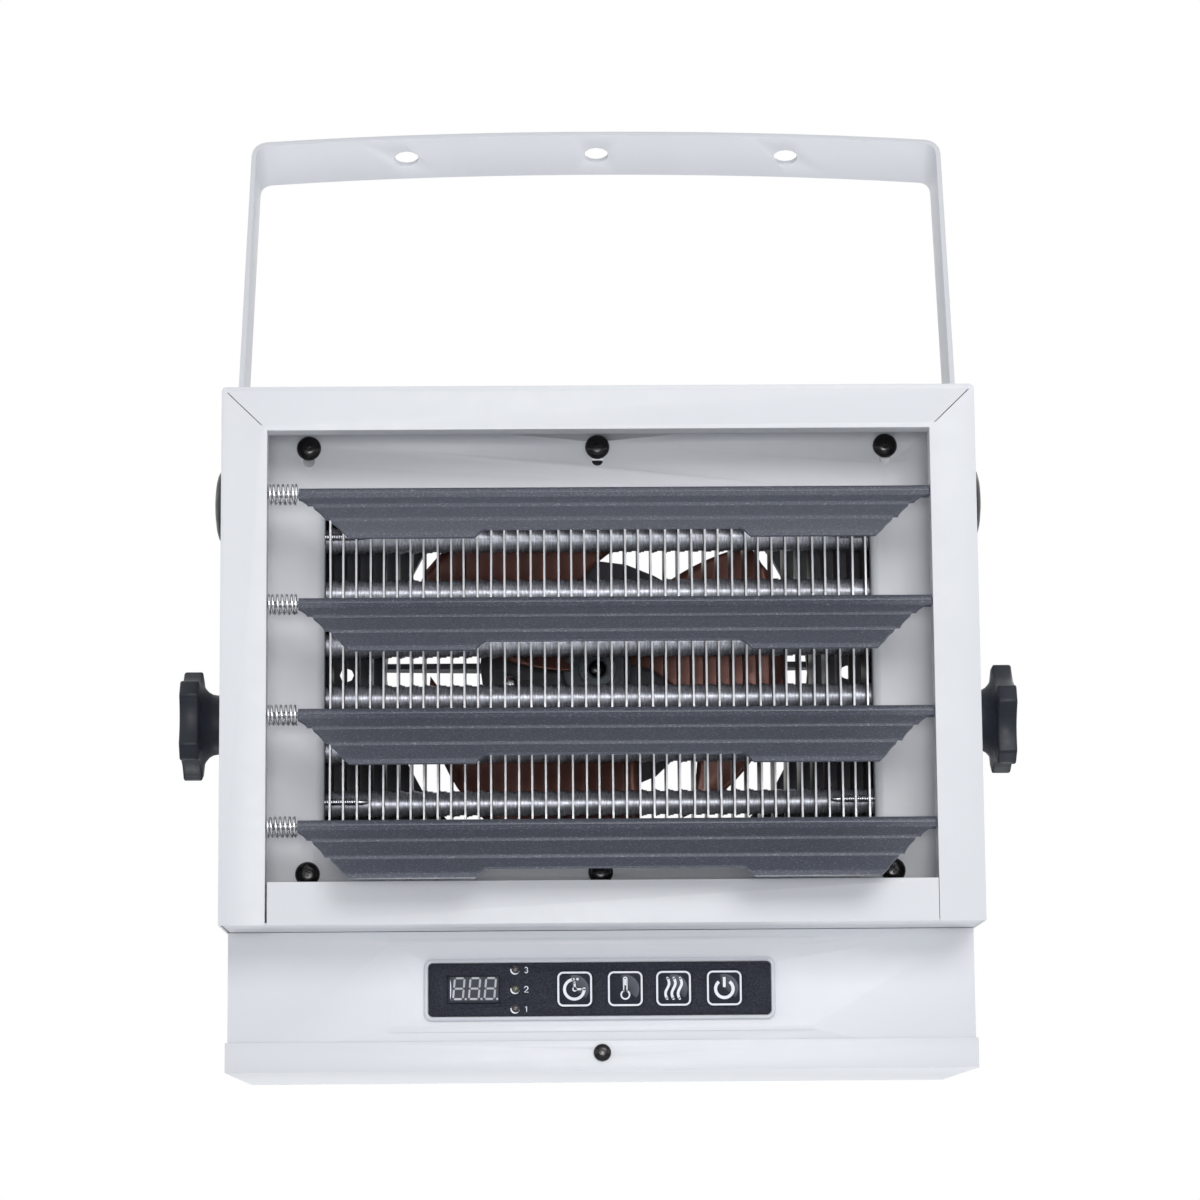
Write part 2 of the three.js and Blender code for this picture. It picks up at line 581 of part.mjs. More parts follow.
function motorBody() {
  const { radius, bellRadius, flangeRadius, length } = motor;
  const body = turned([
    [0, 0], [flangeRadius, 0], [flangeRadius, 2], [bellRadius + 3, 3], [radius - 3, 11], [radius, 12],
    [radius, length - 18], [radius - 3, length - 17], [bellRadius, length - 6], [bellRadius - 6, length],
    [0, length],
  ], 18);
  const holes = boltPlaces.map(([, x, z]) =>
    bar("y", motor.boltRadius + clearance, [-beyond, 5], [x, z], 10));
  const vents = [...Array(6).keys()].map((i) => {
    const slotBox = box([-3, 3], [length - 12, length + beyond], [bellRadius - 12, bellRadius - 5]);
    return moved(slotBox, { turn: [0, i * 60, 0] });
  });
  const bore = bar("y", motor.shaftRadius + clearance, [-beyond, boreEnd], [0, 0], 12);
  return cut(body, [...holes, ...vents, bore]);
}
const motorPlace = [0, fanY + motorY, fanZ];
add(heater, "fan_motor", motorBody(), motorBlack, motorPlace);

// A round plate on two flat arms that run out past the orifice and forward to tabs on the shroud.
function motorYoke() {
  const plate = bar("y", yoke.plateRadius, [0, yoke.plate], [0, 0], 24);
  const tabY = shroudY + sheet + clearance - (fanY + yokeY);
  const halfMetal = yoke.metal / 2;
  const arms = sides.flatMap(([, s]) => {
    const arm = ordered(s * (motor.flangeRadius + beyond), s * yokeReach);
    const foot = ordered(s * (yokeReach - yoke.armDepth), s * yokeReach);
    return [
      box(arm, [yoke.plate / 2, yoke.armDepth], [-halfMetal, halfMetal]),
      box(foot, [tabY, yoke.armDepth], [-halfMetal, halfMetal]),
      box(foot, [tabY, tabY + yoke.plate], [-yoke.tab, yoke.tab]),
    ];
  });
  const through = [-beyond, 2 * yoke.plate];
  const holes = boltPlaces.map(([, x, z]) =>
    bar("y", motor.boltRadius + clearance, through, [x, z], 10));
  const bore = bar("y", 2 * motor.shaftRadius, through, [0, 0], 12);
  return cut(union([plate, ...arms]), [...holes, bore]);
}
const yokePlace = [0, fanY + yokeY, fanZ];
add(heater, "motor_yoke", motorYoke(), motorBlack, yokePlace);

const motorBolt = turned([
  [0, -3], [3.6, -2.6], [4.6, -1], [4.6, 0], [motor.boltRadius, 0], [motor.boltRadius, 5], [0, 5],
], 8);
boltPlaces.forEach(([side, x, z]) =>
  add(heater, `motor_bolt_${side}`, motorBolt, zinc, [x, yokePlace[1] - clearance, fanZ + z]));

// ---------------------------------------------------------------- louvers and their springs

// Cross section of a slat: distance forward of the pin and height, with raised beads.
function slatSection() {
  const half = louver.thickness / 2;
  const line = [[1, 0]];
  bead.places.forEach((v) => {
    const w = bead.width / 2;
    line.push([v - w, 0], [v - w / 2, bead.height], [v + w / 2, bead.height], [v + w, 0]);
  });
  line.push([louver.chord - louver.frontFold, 0], [louver.chord, -louver.frontDrop]);
  const shape = new THREE.Shape();
  line.forEach(([v, h], i) => (i ? shape.lineTo(-v, h + half) : shape.moveTo(-v, h + half)));
  [...line].reverse().forEach(([v, h]) => shape.lineTo(-v, h - half));
  return shape;
}

// Outline of a slat from above: scalloped ends with a nick at each bead, and a relieved front edge.
function slatOutline() {
  const { chord, scallopFrom, shoulder, tailLength } = louver;
  const steps = [scallopFrom, ...bead.places, chord - 1];
  const slope = (slatHalf.front - slatHalf.rear) / (steps[3] - steps[0]);
  const halfAt = (v) => slatHalf.rear + slope * (v - steps[0]);
  const end = [];
  for (let i = 0; i < 3; i += 1) {
    const [v0, v1] = [steps[i] + (i ? bead.notch : 0), steps[i + 1]];
    const [x0, x1] = [halfAt(steps[i]) - (i ? bead.notch : 0), halfAt(v1)];
    const curve = new THREE.QuadraticBezierCurve(
      new THREE.Vector2(x0, v0), new THREE.Vector2((x0 + x1) / 2 - 1.2, (v0 + v1) / 2 - 1.2),
      new THREE.Vector2(x1, v1));
    curve.getPoints(4).forEach((p) => end.push([p.x, p.y]));
  }
  const right = [[slatEnd, -tailLength], [slatEnd, shoulder]];
  const front = [
    [slatHalf.front - 2, chord + 1], [edgeNotch.half + edgeNotch.chamfer, chord + 1],
    [edgeNotch.half + edgeNotch.chamfer, chord], [edgeNotch.half, chord - edgeNotch.depth],
  ];
  const mirrored = (points) => points.map(([x, v]) => [-x, v]).reverse();
  const left = [...mirrored(end), [-slatHalf.rear, shoulder], [-slatHalf.rear, -tailLength]];
  const all = [...right, ...end, ...front, ...mirrored(front), ...left];
  const shape = new THREE.Shape();
  all.forEach(([x, v], i) => (i ? shape.lineTo(x, -v) : shape.moveTo(x, -v)));
  return shape;
}

// A slat with its rear edge rolled round the pin, whose ends turn in the lips of the casing.
function louverBody() {
  const tall = 2 * louver.curlRadius;
  const sheetMetal = prismX(slatSection(), [-openingHalf, openingHalf]);
  const blank = prismZ(slatOutline(), [-tall, tall]);
  const curl = bar("x", louver.curlRadius, [-slatHalf.rear, slatEnd], [0, 0], 12);
  const pinFrom = -pinEnd - louver.centreX;
  const pin = bar("x", louver.pinRadius, [pinFrom, pinEnd - louver.centreX], [0, 0], 8);
  return union([sheetMetal.intersect(blank), curl, pin]);
}

// A coil spring along +X as one unbroken round wire with flat ends.
function coilSpring(length) {
  const radius = (spring.outerDiameter - spring.wire) / 2;
  const travel = length - spring.wire;
  const count = spring.turns * spring.steps;
  const slope = Math.atan2(travel / (2 * Math.PI * spring.turns), radius);
  const positions = [];
  const index = [];
  for (let i = 0; i <= count; i += 1) {
    const a = (i * 2 * Math.PI) / spring.steps;
    const x = spring.wire / 2 + (travel * i) / count;
    for (let k = 0; k < spring.sides; k += 1) {
      const b = (k * 2 * Math.PI) / spring.sides;
      const out = radius + (Math.cos(b) * spring.wire) / 2;
      const along = (Math.sin(b) * spring.wire) / 2;
      const turn = a - (along * Math.sin(slope)) / radius;
      positions.push(x + along * Math.cos(slope), out * Math.cos(turn), out * Math.sin(turn));
    }
  }
  const at = (i, k) => i * spring.sides + (k % spring.sides);
  for (let i = 0; i < count; i += 1) {
    for (let k = 0; k < spring.sides; k += 1) {
      index.push(at(i, k), at(i, k + 1), at(i + 1, k), at(i, k + 1), at(i + 1, k + 1), at(i + 1, k));
    }
  }
  for (let k = 1; k < spring.sides - 1; k += 1) {
    index.push(at(0, 0), at(0, k + 1), at(0, k));
    index.push(at(count, 0), at(count, k), at(count, k + 1));
  }
  const geometry = new THREE.BufferGeometry();
  geometry.setAttribute("position", new THREE.BufferAttribute(new Float32Array(positions), 3));
  geometry.setIndex(index);
  return geometry;
}

// The least gap between neighbouring turns, measured from the wire's centre line points.
function leastTurnGap(geometry) {
  const p = geometry.getAttribute("position");
  const rings = p.count / spring.sides;
  const centres = [...Array(rings).keys()].map((i) => {
    const c = new THREE.Vector3();
    for (let k = 0; k < spring.sides; k += 1) {
      c.add(new THREE.Vector3().fromBufferAttribute(p, i * spring.sides + k));
    }
    return c.divideScalar(spring.sides);
  });
  let least = Infinity;
  for (let i = 0; i < rings; i += 1) {
    for (let j = i + spring.steps / 2; j < rings; j += 1) {
      least = Math.min(least, centres[i].distanceTo(centres[j]));
    }
  }
  return least - spring.wire;
}

const slat = louverBody();
const springFrom = -openingHalf + clearance;
const springLength = louver.centreX - slatHalf.rear - clearance - springFrom;
const coil = coilSpring(springLength);
console.log(`least gap between spring turns ${leastTurnGap(coil).toFixed(2)} mm`);
const coilBody = solid(coil);
louverIndexes.forEach((i) => {
  const name = louver.count - i;
  const hinge = addGroup([louver.centreX, louverY, louverZ(i)], [louver.droopDegrees, 0, 0]);
  add(hinge, `louver_${name}`, slat, charcoal);
  add(heater, `louver_spring_${name}`, coilBody, springSteel, [springFrom, louverY, louverZ(i)]);
});

// ---------------------------------------------------------------- control box

const panelZ = panel.centreHeight;
const lampPlaces = [1, 0, -1].map((row) => [lamp.x, panelZ + row * lamp.pitch]);

function controlBoxShell() {
  const y = [faceY, rearY - sheet];
  const z = [sheet + clearance, floorZ - clearance];
  const outer = box([-boxHalf, boxHalf], y, z);
  const inner = boxHalf - sheet;
  const inside = box([-inner, inner], [y[0] + sheet, y[1] - sheet], [z[0] - beyond, z[1] - sheet]);
  const lid = inner - controlBox.topFlange;
  const top = box([-lid, lid], [y[0] + controlBox.topFlange, y[1] - controlBox.topFlange],
    [z[1] - 2 * sheet, z[1] + beyond]);
  const ribs = [z[1] - rib.fromEnd, cover.lip + clearance + rib.fromEnd].map((height) =>
    prismY(roundedRectangle(0, height, rib.length, rib.height, rib.height / 2 - 0.01),
      [faceY - rib.proud, faceY + sheet / 2], 2));
  const windowHalf = panel.width / 2 - panel.windowInset;
  const window = box(
    [panel.centreX - windowHalf, panel.centreX + windowHalf], [faceY - beyond, faceY + 2 * sheet],
    [panelZ - panel.height / 2 + 1, panelZ + panel.height / 2 - 1]);
  const entry = bar("y", gland.neckRadius + clearance, [y[1] - 2 * sheet, y[1] + beyond],
    [glandX, gland.height], 14);
  const screwHole = bar("y", coverScrew.shankRadius + clearance, [faceY - beyond, faceY + 3],
    [0, coverScrew.height], 10);
  const posts = [-1, 1].map((s) =>
    bar("y", controlBox.standoffRadius, [faceY + sheet / 2, boardY - clearance],
      [panel.centreX + s * (panel.width / 2 - board.postInset), panelZ], 8));
  const body = cut(union([outer, ...ribs]), [inside, top]);
  return cut(body.add(union(posts)), [window.subtract(union(posts)), entry, screwHole]);
}

function baseCover() {
  const half = boxHalf + clearance + cover.sheet;
  const inner = boxHalf + clearance;
  const y = [faceY - clearance - cover.sheet, rearY + clearance];
  const tray = box([-half, half], y, [0, cover.lip]);
  const inside = box([-inner, inner], [y[0] + cover.sheet, y[1] - cover.sheet],
    [cover.sheet, cover.lip + beyond]);
  const hole = bar("y", coverScrew.shankRadius + clearance, [y[0] - beyond, y[0] + 2 * cover.sheet],
    [0, coverScrew.height], 10);
  return cut(tray, [inside, hole]);
}

add(heater, "control_box", controlBoxShell(), white);
add(heater, "base_cover", baseCover(), white);
const smallScrew = pointedScrew({
  headRadius: coverScrew.radius, headHeight: coverScrew.headHeight, radius: coverScrew.shankRadius,
  length: coverScrew.length, point: coverScrew.point,
});
add(heater, "cover_screw", smallScrew, blackSteel,
  [0, faceY - 2 * clearance - cover.sheet, coverScrew.height]);

// ---------------------------------------------------------------- control panel

const overlayY = [faceY - clearance - panel.film, faceY - clearance];
const rimY = [faceY - clearance - panel.proud, faceY - clearance];

function panelBezel() {
  const grow = 2 * (panel.rim + clearance);
  const fit = 2 * clearance;
  const outer = roundedRectangle(
    panel.centreX, panelZ, panel.width + grow, panel.height + grow, panel.radius + panel.rim);
  const inner = roundedRectangle(
    panel.centreX, panelZ, panel.width + fit, panel.height + fit, panel.radius + clearance);
  return prismY(outer, rimY, 3).subtract(prismY(inner, [rimY[0] - beyond, rimY[1] + beyond], 3));
}

const displayZ = [panelZ - display.height / 2, panelZ + display.height / 2];
const displayX = [display.x - display.width / 2, display.x + display.width / 2];

function panelOverlay() {
  const outline = roundedRectangle(panel.centreX, panelZ, panel.width, panel.height, panel.radius);
  const plate = prismY(outline, overlayY, 3);
  const through = [overlayY[0] - beyond, overlayY[1] + beyond];
  const size = key.size + 2 * clearance;
  const keyHoles = key.places.map((x) =>
    prismY(roundedRectangle(x, panelZ, size, size, key.radius + clearance), through, 2));
  const glass = box([displayX[0] - clearance, displayX[1] + clearance], through,
    [displayZ[0] - clearance, displayZ[1] + clearance]);
  const lampHoles = lampPlaces.map((at) => bar("y", lamp.radius + clearance, through, at, 10));
  return cut(plate, [...keyHoles, glass, ...lampHoles]);
}

// A key's front is at y = 0; its stem reaches towards the switch on the board.
function keyCap() {
  const cap = prismY(roundedRectangle(0, 0, key.size, key.size, key.radius), [0, key.cap], 2);
  const stemEnd = boardY - (overlayY[0] - key.proud) - key.travel - clearance;
  return cap.add(bar("y", key.stemRadius, [1, stemEnd], [0, 0], 8));
}

add(heater, "panel_bezel", panelBezel(), bezelGrey);
add(heater, "panel_overlay", panelOverlay(), panelBlack);
const displayY = [overlayY[0] + display.recess, boardY - clearance];
add(heater, "display_module", box(displayX, displayY, displayZ), lampGrey);
const lampBody = turned([
  [0, -lamp.dome], [lamp.radius * 0.7, -lamp.dome * 0.6], [lamp.radius, 0.2], [lamp.radius, lamp.length],
  [0, lamp.length],
], 10);
lampPlaces.forEach(([x, z], i) =>
  add(heater, `indicator_lamp_${i + 1}`, lampBody, lampGrey, [x, boardY - clearance - lamp.length, z]));
const capBody = keyCap();
key.places.forEach((x, i) =>
  add(heater, `key_${keyNames[i]}`, capBody, keyBlack, [x, overlayY[0] - key.proud, panelZ]));
add(heater, "control_board",
  box([panel.centreX - panel.width / 2, panel.centreX + panel.width / 2], [boardY, boardY + board.thickness],
    [panelZ - board.height / 2, panelZ + board.height / 2]), boardGreen);

// ---------------------------------------------------------------- wiring pieces inside and at the back

function terminalStrip() {
  const { width, depth, height, poles, wall, wellDepth, x, y } = terminalBlock;
  const z = [cover.sheet + clearance, cover.sheet + clearance + height];
  const body = box([x - width / 2, x + width / 2], [y - depth / 2, y + depth / 2], z);
  const step = width / poles;
  const wells = [...Array(poles).keys()].map((i) => {
    const left = x - width / 2 + i * step + wall;
    return box([left, left + step - 2 * wall], [y - depth / 2 + wall, y + depth / 2 - wall],
      [z[1] - wellDepth, z[1] + beyond]);
  });
  return cut(body, wells);
}
add(heater, "terminal_block", terminalStrip(), terminalCream);

const bushing = turned([
  [gland.boreRadius, -gland.neckLength], [gland.neckRadius, -gland.neckLength], [gland.neckRadius, 0],
  [gland.radius, 0], [gland.radius, gland.nose / 2], [gland.boreRadius + 2, gland.nose],
  [gland.boreRadius, gland.nose], [gland.boreRadius, -gland.neckLength],
], 14);
add(heater, "cable_bushing", bushing, darkPlastic, [glandX, rearY - sheet + clearance, gland.height]);

const thermostat = turned([
  [0, 0], [cutout.radius + cutout.flange, 0], [cutout.radius + cutout.flange, cutout.flangeMetal],
  [cutout.radius, cutout.flangeMetal], [cutout.radius, cutout.height], [0, cutout.height],
], 16);
add(heater, "thermal_cutout", thermostat, darkPlastic,
  [ductHalf + clearance, cutout.y, topZ - cutout.fromTop], [0, 0, -90]);

// ---------------------------------------------------------------- mounting strap, knobs and side plugs

// A flat strap folded to a U, its top bowed; drawn about the tilt axis and leaned back.
function mountingStrap() {
  const [outerX, innerX] = [strapOuter, strapInner];
  const chord = outerX - strap.bend;
  const bowRadius = (chord * chord) / (2 * strap.bow) + strap.bow / 2;
  const centreZ = strap.reach - bowRadius;
  const bendX = outerX - strap.bend;
  const bendZ = centreZ + Math.sqrt((bowRadius - strap.bend) ** 2 - bendX ** 2);
  const meet = Math.atan2(bendZ - centreZ, bendX);
  const edge = (path, x, r, bow, back) => {
    const arcs = [
      [bendX, bendZ, r, 0, meet], [0, centreZ, bow, meet, Math.PI - meet],
      [-bendX, bendZ, r, Math.PI - meet, Math.PI],
    ];
    const order = back ? [...arcs].reverse() : arcs;
    order.forEach(([cx, cz, radius, from, to], i) => {
      const parts = i === 1 ? 15 : 4;
      for (let k = 0; k <= parts; k += 1) {
        const t = back ? 1 - k / parts : k / parts;
        const a = from + (to - from) * t;
        path.push([cx + radius * Math.cos(a), cz + radius * Math.sin(a)]);
      }
    });
    if (back) path.push([x, 0]);
    return path;
  };
  const points = edge([[outerX, 0]], outerX, strap.bend, bowRadius, false);
  points.push([-outerX, 0], [-innerX, 0]);
  edge(points, innerX, strap.bend - strap.metal, bowRadius - strap.metal, true);
  const shape = new THREE.Shape();
  points.forEach(([x, z], i) => (i ? shape.lineTo(x, z) : shape.moveTo(x, z)));
  const half = strap.width / 2;
  const band = prismY(shape, [-half, half]);
  const ends = sides.map(([, s]) =>
    bar("x", half, ordered(s * innerX, s * outerX), [0, 0], 20));
  const crown = [strap.reach - strap.bow - 2 * strap.metal, strap.reach + beyond];
  const holes = [-1, 0, 1].map((i) =>
    bar("z", strap.holeRadius, crown, [i * strap.holePitch, 0], 12));
  const across = [-outerX - beyond, outerX + beyond];
  const pivotHole = bar("x", knob.studRadius + 2 * clearance, across, [0, 0], 12);
  return cut(union([band, ...ends]), [...holes, pivotHole]);
}

const tilt = addGroup([0, pivotY, pivotZ], [-strap.leanDegrees, 0, 0]);
add(tilt, "mounting_bracket", mountingStrap(), white);

// Five squared lobes on a waisted neck, with the clamping stud behind; its base is at x = 0.
function clampKnob() {
  const { lobes, valleyRadius, lobeWidth, head, height, neckTop, neckBottom } = knob;
  const tip = knob.tipRadius;
  const shoulder = tip - knob.corner;
  const half = Math.asin(lobeWidth / 2 / tip);
  const step = (2 * Math.PI) / lobes;
  const shape = new THREE.Shape();
  const at = (r, a) => [r * Math.cos(a), r * Math.sin(a)];
  for (let i = 0; i < lobes; i += 1) {
    const a = i * step;
    if (i === 0) shape.moveTo(...at(shoulder, a - half));
    else shape.lineTo(...at(shoulder, a - half));
    shape.lineTo(...at(tip, a - half * 0.7));
    shape.lineTo(...at(tip, a + half * 0.7));
    shape.lineTo(...at(shoulder, a + half));
    const [fromX, fromY] = at(shoulder, a + half);
    const [toX, toY] = at(shoulder, a + step - half);
    const low = at(2 * valleyRadius - shoulder * Math.cos(step / 2 - half), a + step / 2);
    const curve = new THREE.QuadraticBezierCurve(
      new THREE.Vector2(fromX, fromY), new THREE.Vector2(...low), new THREE.Vector2(toX, toY));
    curve.getPoints(4).slice(1, -1).forEach((p) => shape.lineTo(p.x, p.y));
  }
  const star = prismX(shape, [height - head, height]);
  const waist = neckBottom + (neckTop - neckBottom) * 0.2;
  const neckHeight = height - head;
  const neck = turned([
    [0, 0], [neckBottom, 0], [neckBottom, neckHeight * 0.25], [waist, neckHeight * 0.6],
    [neckTop, neckHeight + beyond], [0, neckHeight + beyond],
  ], 16);
  const stud = bar("x", knob.studRadius, [-knob.studLength, 1], [0, 0], 12);
  return union([star, moved(neck, { turn: [0, 0, -90] }), stud]);
}

const knobBody = clampKnob();
const washerRing = bar("x", washer.radius, [0, washer.thickness], [0, 0], 18)
  .subtract(bar("x", knob.studRadius + 2 * clearance, [-beyond, washer.thickness + beyond], [0, 0], 12));
const nutBody = bar("x", clampNut.radius, [0, clampNut.length], [0, 0], 6)
  .subtract(bar("x", knob.studRadius + clearance, [-beyond, clampNut.length + beyond], [0, 0], 12));
const plugBody = moved(turned([
  [0, -plug.neckLength], [plug.neckRadius, -plug.neckLength], [plug.neckRadius, 0], [plug.radius, 0],
  [plug.radius, plug.proud * 0.3], [plug.radius * 0.86, plug.proud * 0.66],
  [plug.radius * 0.5, plug.proud * 0.94], [0, plug.proud],
], 16), { turn: [0, 0, -90] });

sides.forEach(([side, s]) => {
  const turn = [0, 0, s > 0 ? 0 : 180];
  add(heater, `friction_washer_${side}`, washerRing, darkPlastic, [s * washerX, pivotY, pivotZ], turn);
  add(heater, `clamp_nut_${side}`, nutBody, zinc,
    [s * (halfWidth - sheet - clearance - clampNut.length), pivotY, pivotZ], turn);
  add(heater, `side_plug_${side}`, plugBody, darkPlastic,
    [s * (halfWidth + clearance), frontY + plug.setback, plugZ], turn);
  add(heater, `knob_${side}`, knobBody, knobPlastic,
    [s * (strapOuter + clearance), pivotY, pivotZ], [knob.restDegrees[side], 0, turn[2]]);
});

export default heater;
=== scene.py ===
"""Looks of the ceiling mounted fan heater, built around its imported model, in metres."""

import json
import math

import bmesh
import bpy
from mathutils import Matrix, Vector


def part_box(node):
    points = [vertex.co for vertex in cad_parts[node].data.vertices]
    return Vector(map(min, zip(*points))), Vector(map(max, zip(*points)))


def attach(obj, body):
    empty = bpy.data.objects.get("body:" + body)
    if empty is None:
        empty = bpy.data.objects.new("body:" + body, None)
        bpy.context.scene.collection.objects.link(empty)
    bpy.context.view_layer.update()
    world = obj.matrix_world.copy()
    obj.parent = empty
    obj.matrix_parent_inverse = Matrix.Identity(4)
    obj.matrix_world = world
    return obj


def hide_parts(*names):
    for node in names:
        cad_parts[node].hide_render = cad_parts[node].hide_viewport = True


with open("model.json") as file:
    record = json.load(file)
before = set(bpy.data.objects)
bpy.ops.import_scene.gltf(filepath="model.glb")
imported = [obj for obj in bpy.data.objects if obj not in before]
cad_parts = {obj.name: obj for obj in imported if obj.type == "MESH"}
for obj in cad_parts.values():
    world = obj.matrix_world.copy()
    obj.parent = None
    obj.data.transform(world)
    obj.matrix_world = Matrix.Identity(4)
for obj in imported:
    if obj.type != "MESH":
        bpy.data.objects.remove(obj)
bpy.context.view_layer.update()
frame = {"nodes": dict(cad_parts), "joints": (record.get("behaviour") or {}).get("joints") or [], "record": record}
MM = 0.001
FRONT_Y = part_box("casing_shell")[0].y
CABINET_FLOOR_Z, TILT_AXIS_Z = 0.067, 0.173
BODY_OF = {
    node: body
    for body, nodes in frame["record"]["behaviour"]["bodies"].items()
    for node in nodes
}

# ---------------------------------------------------------------- camera

EYE = Vector((-0.0291, -1.9, -0.0674))
YAW, PITCH, ROLL = (math.radians(angle) for angle in (0.92, 9.03, -0.48))
LENS = 115.8


def add_camera():
    forward = Vector(
        (math.sin(YAW) * math.cos(PITCH), math.cos(YAW) * math.cos(PITCH), math.sin(PITCH))
    )
    level = Vector((math.cos(YAW), -math.sin(YAW), 0))
    upright = level.cross(forward)
    right = level * math.cos(ROLL) + upright * math.sin(ROLL)
    up = upright * math.cos(ROLL) - level * math.sin(ROLL)
    data = bpy.data.cameras.new("camera")
    data.lens = LENS
    data.sensor_width = 36
    camera = bpy.data.objects.new("camera", data)
    bpy.context.scene.collection.objects.link(camera)
    turn = Matrix((right, up, -forward)).transposed().to_4x4()
    camera.matrix_world = Matrix.Translation(EYE) @ turn
    bpy.context.scene.camera = camera


add_camera()

# ---------------------------------------------------------------- materials


class Look:
    """A Principled material whose colour, roughness and bump come from nodes."""

    def __init__(self, name, **sockets):
        self.material = bpy.data.materials.new(name)
        self.material.use_nodes = True
        self.tree = self.material.node_tree
        self.shader = self.tree.nodes["Principled BSDF"]
        self.places = self.tree.nodes.new("ShaderNodeTexCoord").outputs
        self.set(**sockets)

    def set(self, **sockets):
        """Plain values of the shader's sockets, such as Metallic=0.7."""
        for socket, value in sockets.items():
            self.shader.inputs[socket.replace("_", " ")].default_value = value
        return self

    def noise(self, per_metre, detail=3.0, stretch=(1, 1, 1), rough=0.5):
        """Noise of so many cells per metre, drawn out by stretch."""
        mapping = self.tree.nodes.new("ShaderNodeMapping")
        mapping.inputs["Scale"].default_value = stretch
        self.tree.links.new(self.places["Object"], mapping.inputs["Vector"])
        noise = self.tree.nodes.new("ShaderNodeTexNoise")
        noise.inputs["Scale"].default_value = per_metre
        noise.inputs["Detail"].default_value = detail
        noise.inputs["Roughness"].default_value = rough
        self.tree.links.new(mapping.outputs["Vector"], noise.inputs["Vector"])
        return noise.outputs["Fac"]

    def along(self, axis):
        """How far a point is along the box of its piece, from 0 to 1."""
        node = self.tree.nodes.new("ShaderNodeSeparateXYZ")
        self.tree.links.new(self.places["Generated"], node.inputs["Vector"])
        return node.outputs[axis]

    def combine(self, operation, *values):
        """A math node fed by sockets and plain numbers."""
        node = self.tree.nodes.new("ShaderNodeMath")
        node.operation = operation
        for socket, value in zip(node.inputs, values):
            if isinstance(value, (int, float)):
                socket.default_value = value
            else:
                self.tree.links.new(value, socket)
        return node.outputs["Value"]

    def ramp(self, fac, stops):
        """A colour ramp of (position, colour) stops."""
        node = self.tree.nodes.new("ShaderNodeValToRGB")
        elements = node.color_ramp.elements
        while len(elements) < len(stops):
            elements.new(0.5)
        for element, (position, colour) in zip(elements, stops):
            element.position = position
            element.color = (*colour, 1)
        self.tree.links.new(fac, node.inputs["Fac"])
        return node.outputs["Color"]

    def colour(self, socket):
        self.tree.links.new(socket, self.shader.inputs["Base Color"])
        return self

    def roughness(self, fac, low, high):
        """Roughness that follows a noise from low to high."""
        node = self.tree.nodes.new("ShaderNodeMapRange")
        node.inputs["From Min"].default_value = 0.3
        node.inputs["From Max"].default_value = 0.7
        node.inputs["To Min"].default_value = low
        node.inputs["To Max"].default_value = high
        self.tree.links.new(fac, node.inputs["Value"])
        self.tree.links.new(node.outputs["Result"], self.shader.inputs["Roughness"])
        return self

    def bump(self, height, depth_mm, strength):
        node = self.tree.nodes.new("ShaderNodeBump")
        node.inputs["Strength"].default_value = strength
        node.inputs["Distance"].default_value = depth_mm * MM
        self.tree.links.new(height, node.inputs["Height"])
        self.tree.links.new(node.outputs["Normal"], self.shader.inputs["Normal"])
        return self


def varied(base, spread):
    """Two stops of one colour, a little darker and a little lighter."""
    return [
        (0.35, tuple(c * (1 - spread) for c in base)),
        (0.65, tuple(min(1, c * (1 + spread)) for c in base)),
    ]


def powder_coat(name, base, gloss):
    look = Look(name)
    look.colour(look.ramp(look.noise(6, 2), varied(base, 0.012)))
    look.roughness(look.noise(140, 3), gloss - 0.04, gloss + 0.05)
    return look.bump(look.noise(1100, 2), 0.012, 0.5)


def textured_coat(name, base, speck):
    """Coarse dark powder coat with pale specks painted in where the grains would catch the light: painted
    highlights.
    """
    look = Look(name)
    grain = look.noise(1900, 3, (0.45, 1, 1), 0.75)
    paler = tuple(c * 1.3 for c in base)
    look.colour(look.ramp(grain, [(0.36, base), (0.58, paler), (0.70, speck)]))
    look.roughness(look.noise(900, 2), 0.28, 0.44)
    return look.bump(look.noise(1300, 4, (0.5, 1, 1), 0.7), 0.05, 0.8)


def sheet_metal(name, base, rough, spread, grain, stretch=(1, 1, 1), depth_mm=0.02):
    look = Look(name, Metallic=1.0)
    mottle = look.noise(grain, 5, stretch, 0.65)
    look.colour(look.ramp(mottle, varied(base, spread)))
    look.roughness(look.noise(grain * 2.3, 3, stretch), *rough)
    return look.bump(mottle, depth_mm, 0.6)


def fin_metal_with_painted_shade(name, front, side, rough):
    """Thin sheet, bright on its front edges and darker on the faces behind them: the darker colour is painted
    shade for the shade between close fins.
    """
    look = Look(name, Metallic=0.35)
    depth = look.combine("MULTIPLY_ADD", look.noise(300, 3), 0.06, look.along("Y"))
    # Painted shade: the colour turns from the bright front colour to the dark side colour a little way back from
    # each front edge.
    look.colour(look.ramp(depth, [(0.05, front), (0.12, side)]))
    look.roughness(look.noise(400, 3), *rough)
    return look.bump(look.noise(160, 4), 0.02, 0.5)


def moulded(name, base, rough, grain=900, depth_mm=0.02, spread=0.05):
    look = Look(name)
    look.colour(look.ramp(look.noise(60, 3), varied(base, spread)))
    look.roughness(look.noise(220, 3), *rough)
    return look.bump(look.noise(grain, 3), depth_mm, 0.5)


def speckled_film(name, base, speck, rough):
    """Dark film with fine pale grain, dull enough not to mirror the studio."""
    look = Look(name, Specular_IOR_Level=0.12)
    look.colour(look.ramp(look.noise(1700, 2, rough=0.8), [(0.4, base), (0.75, speck)]))
    return look.roughness(look.noise(300, 2), *rough)


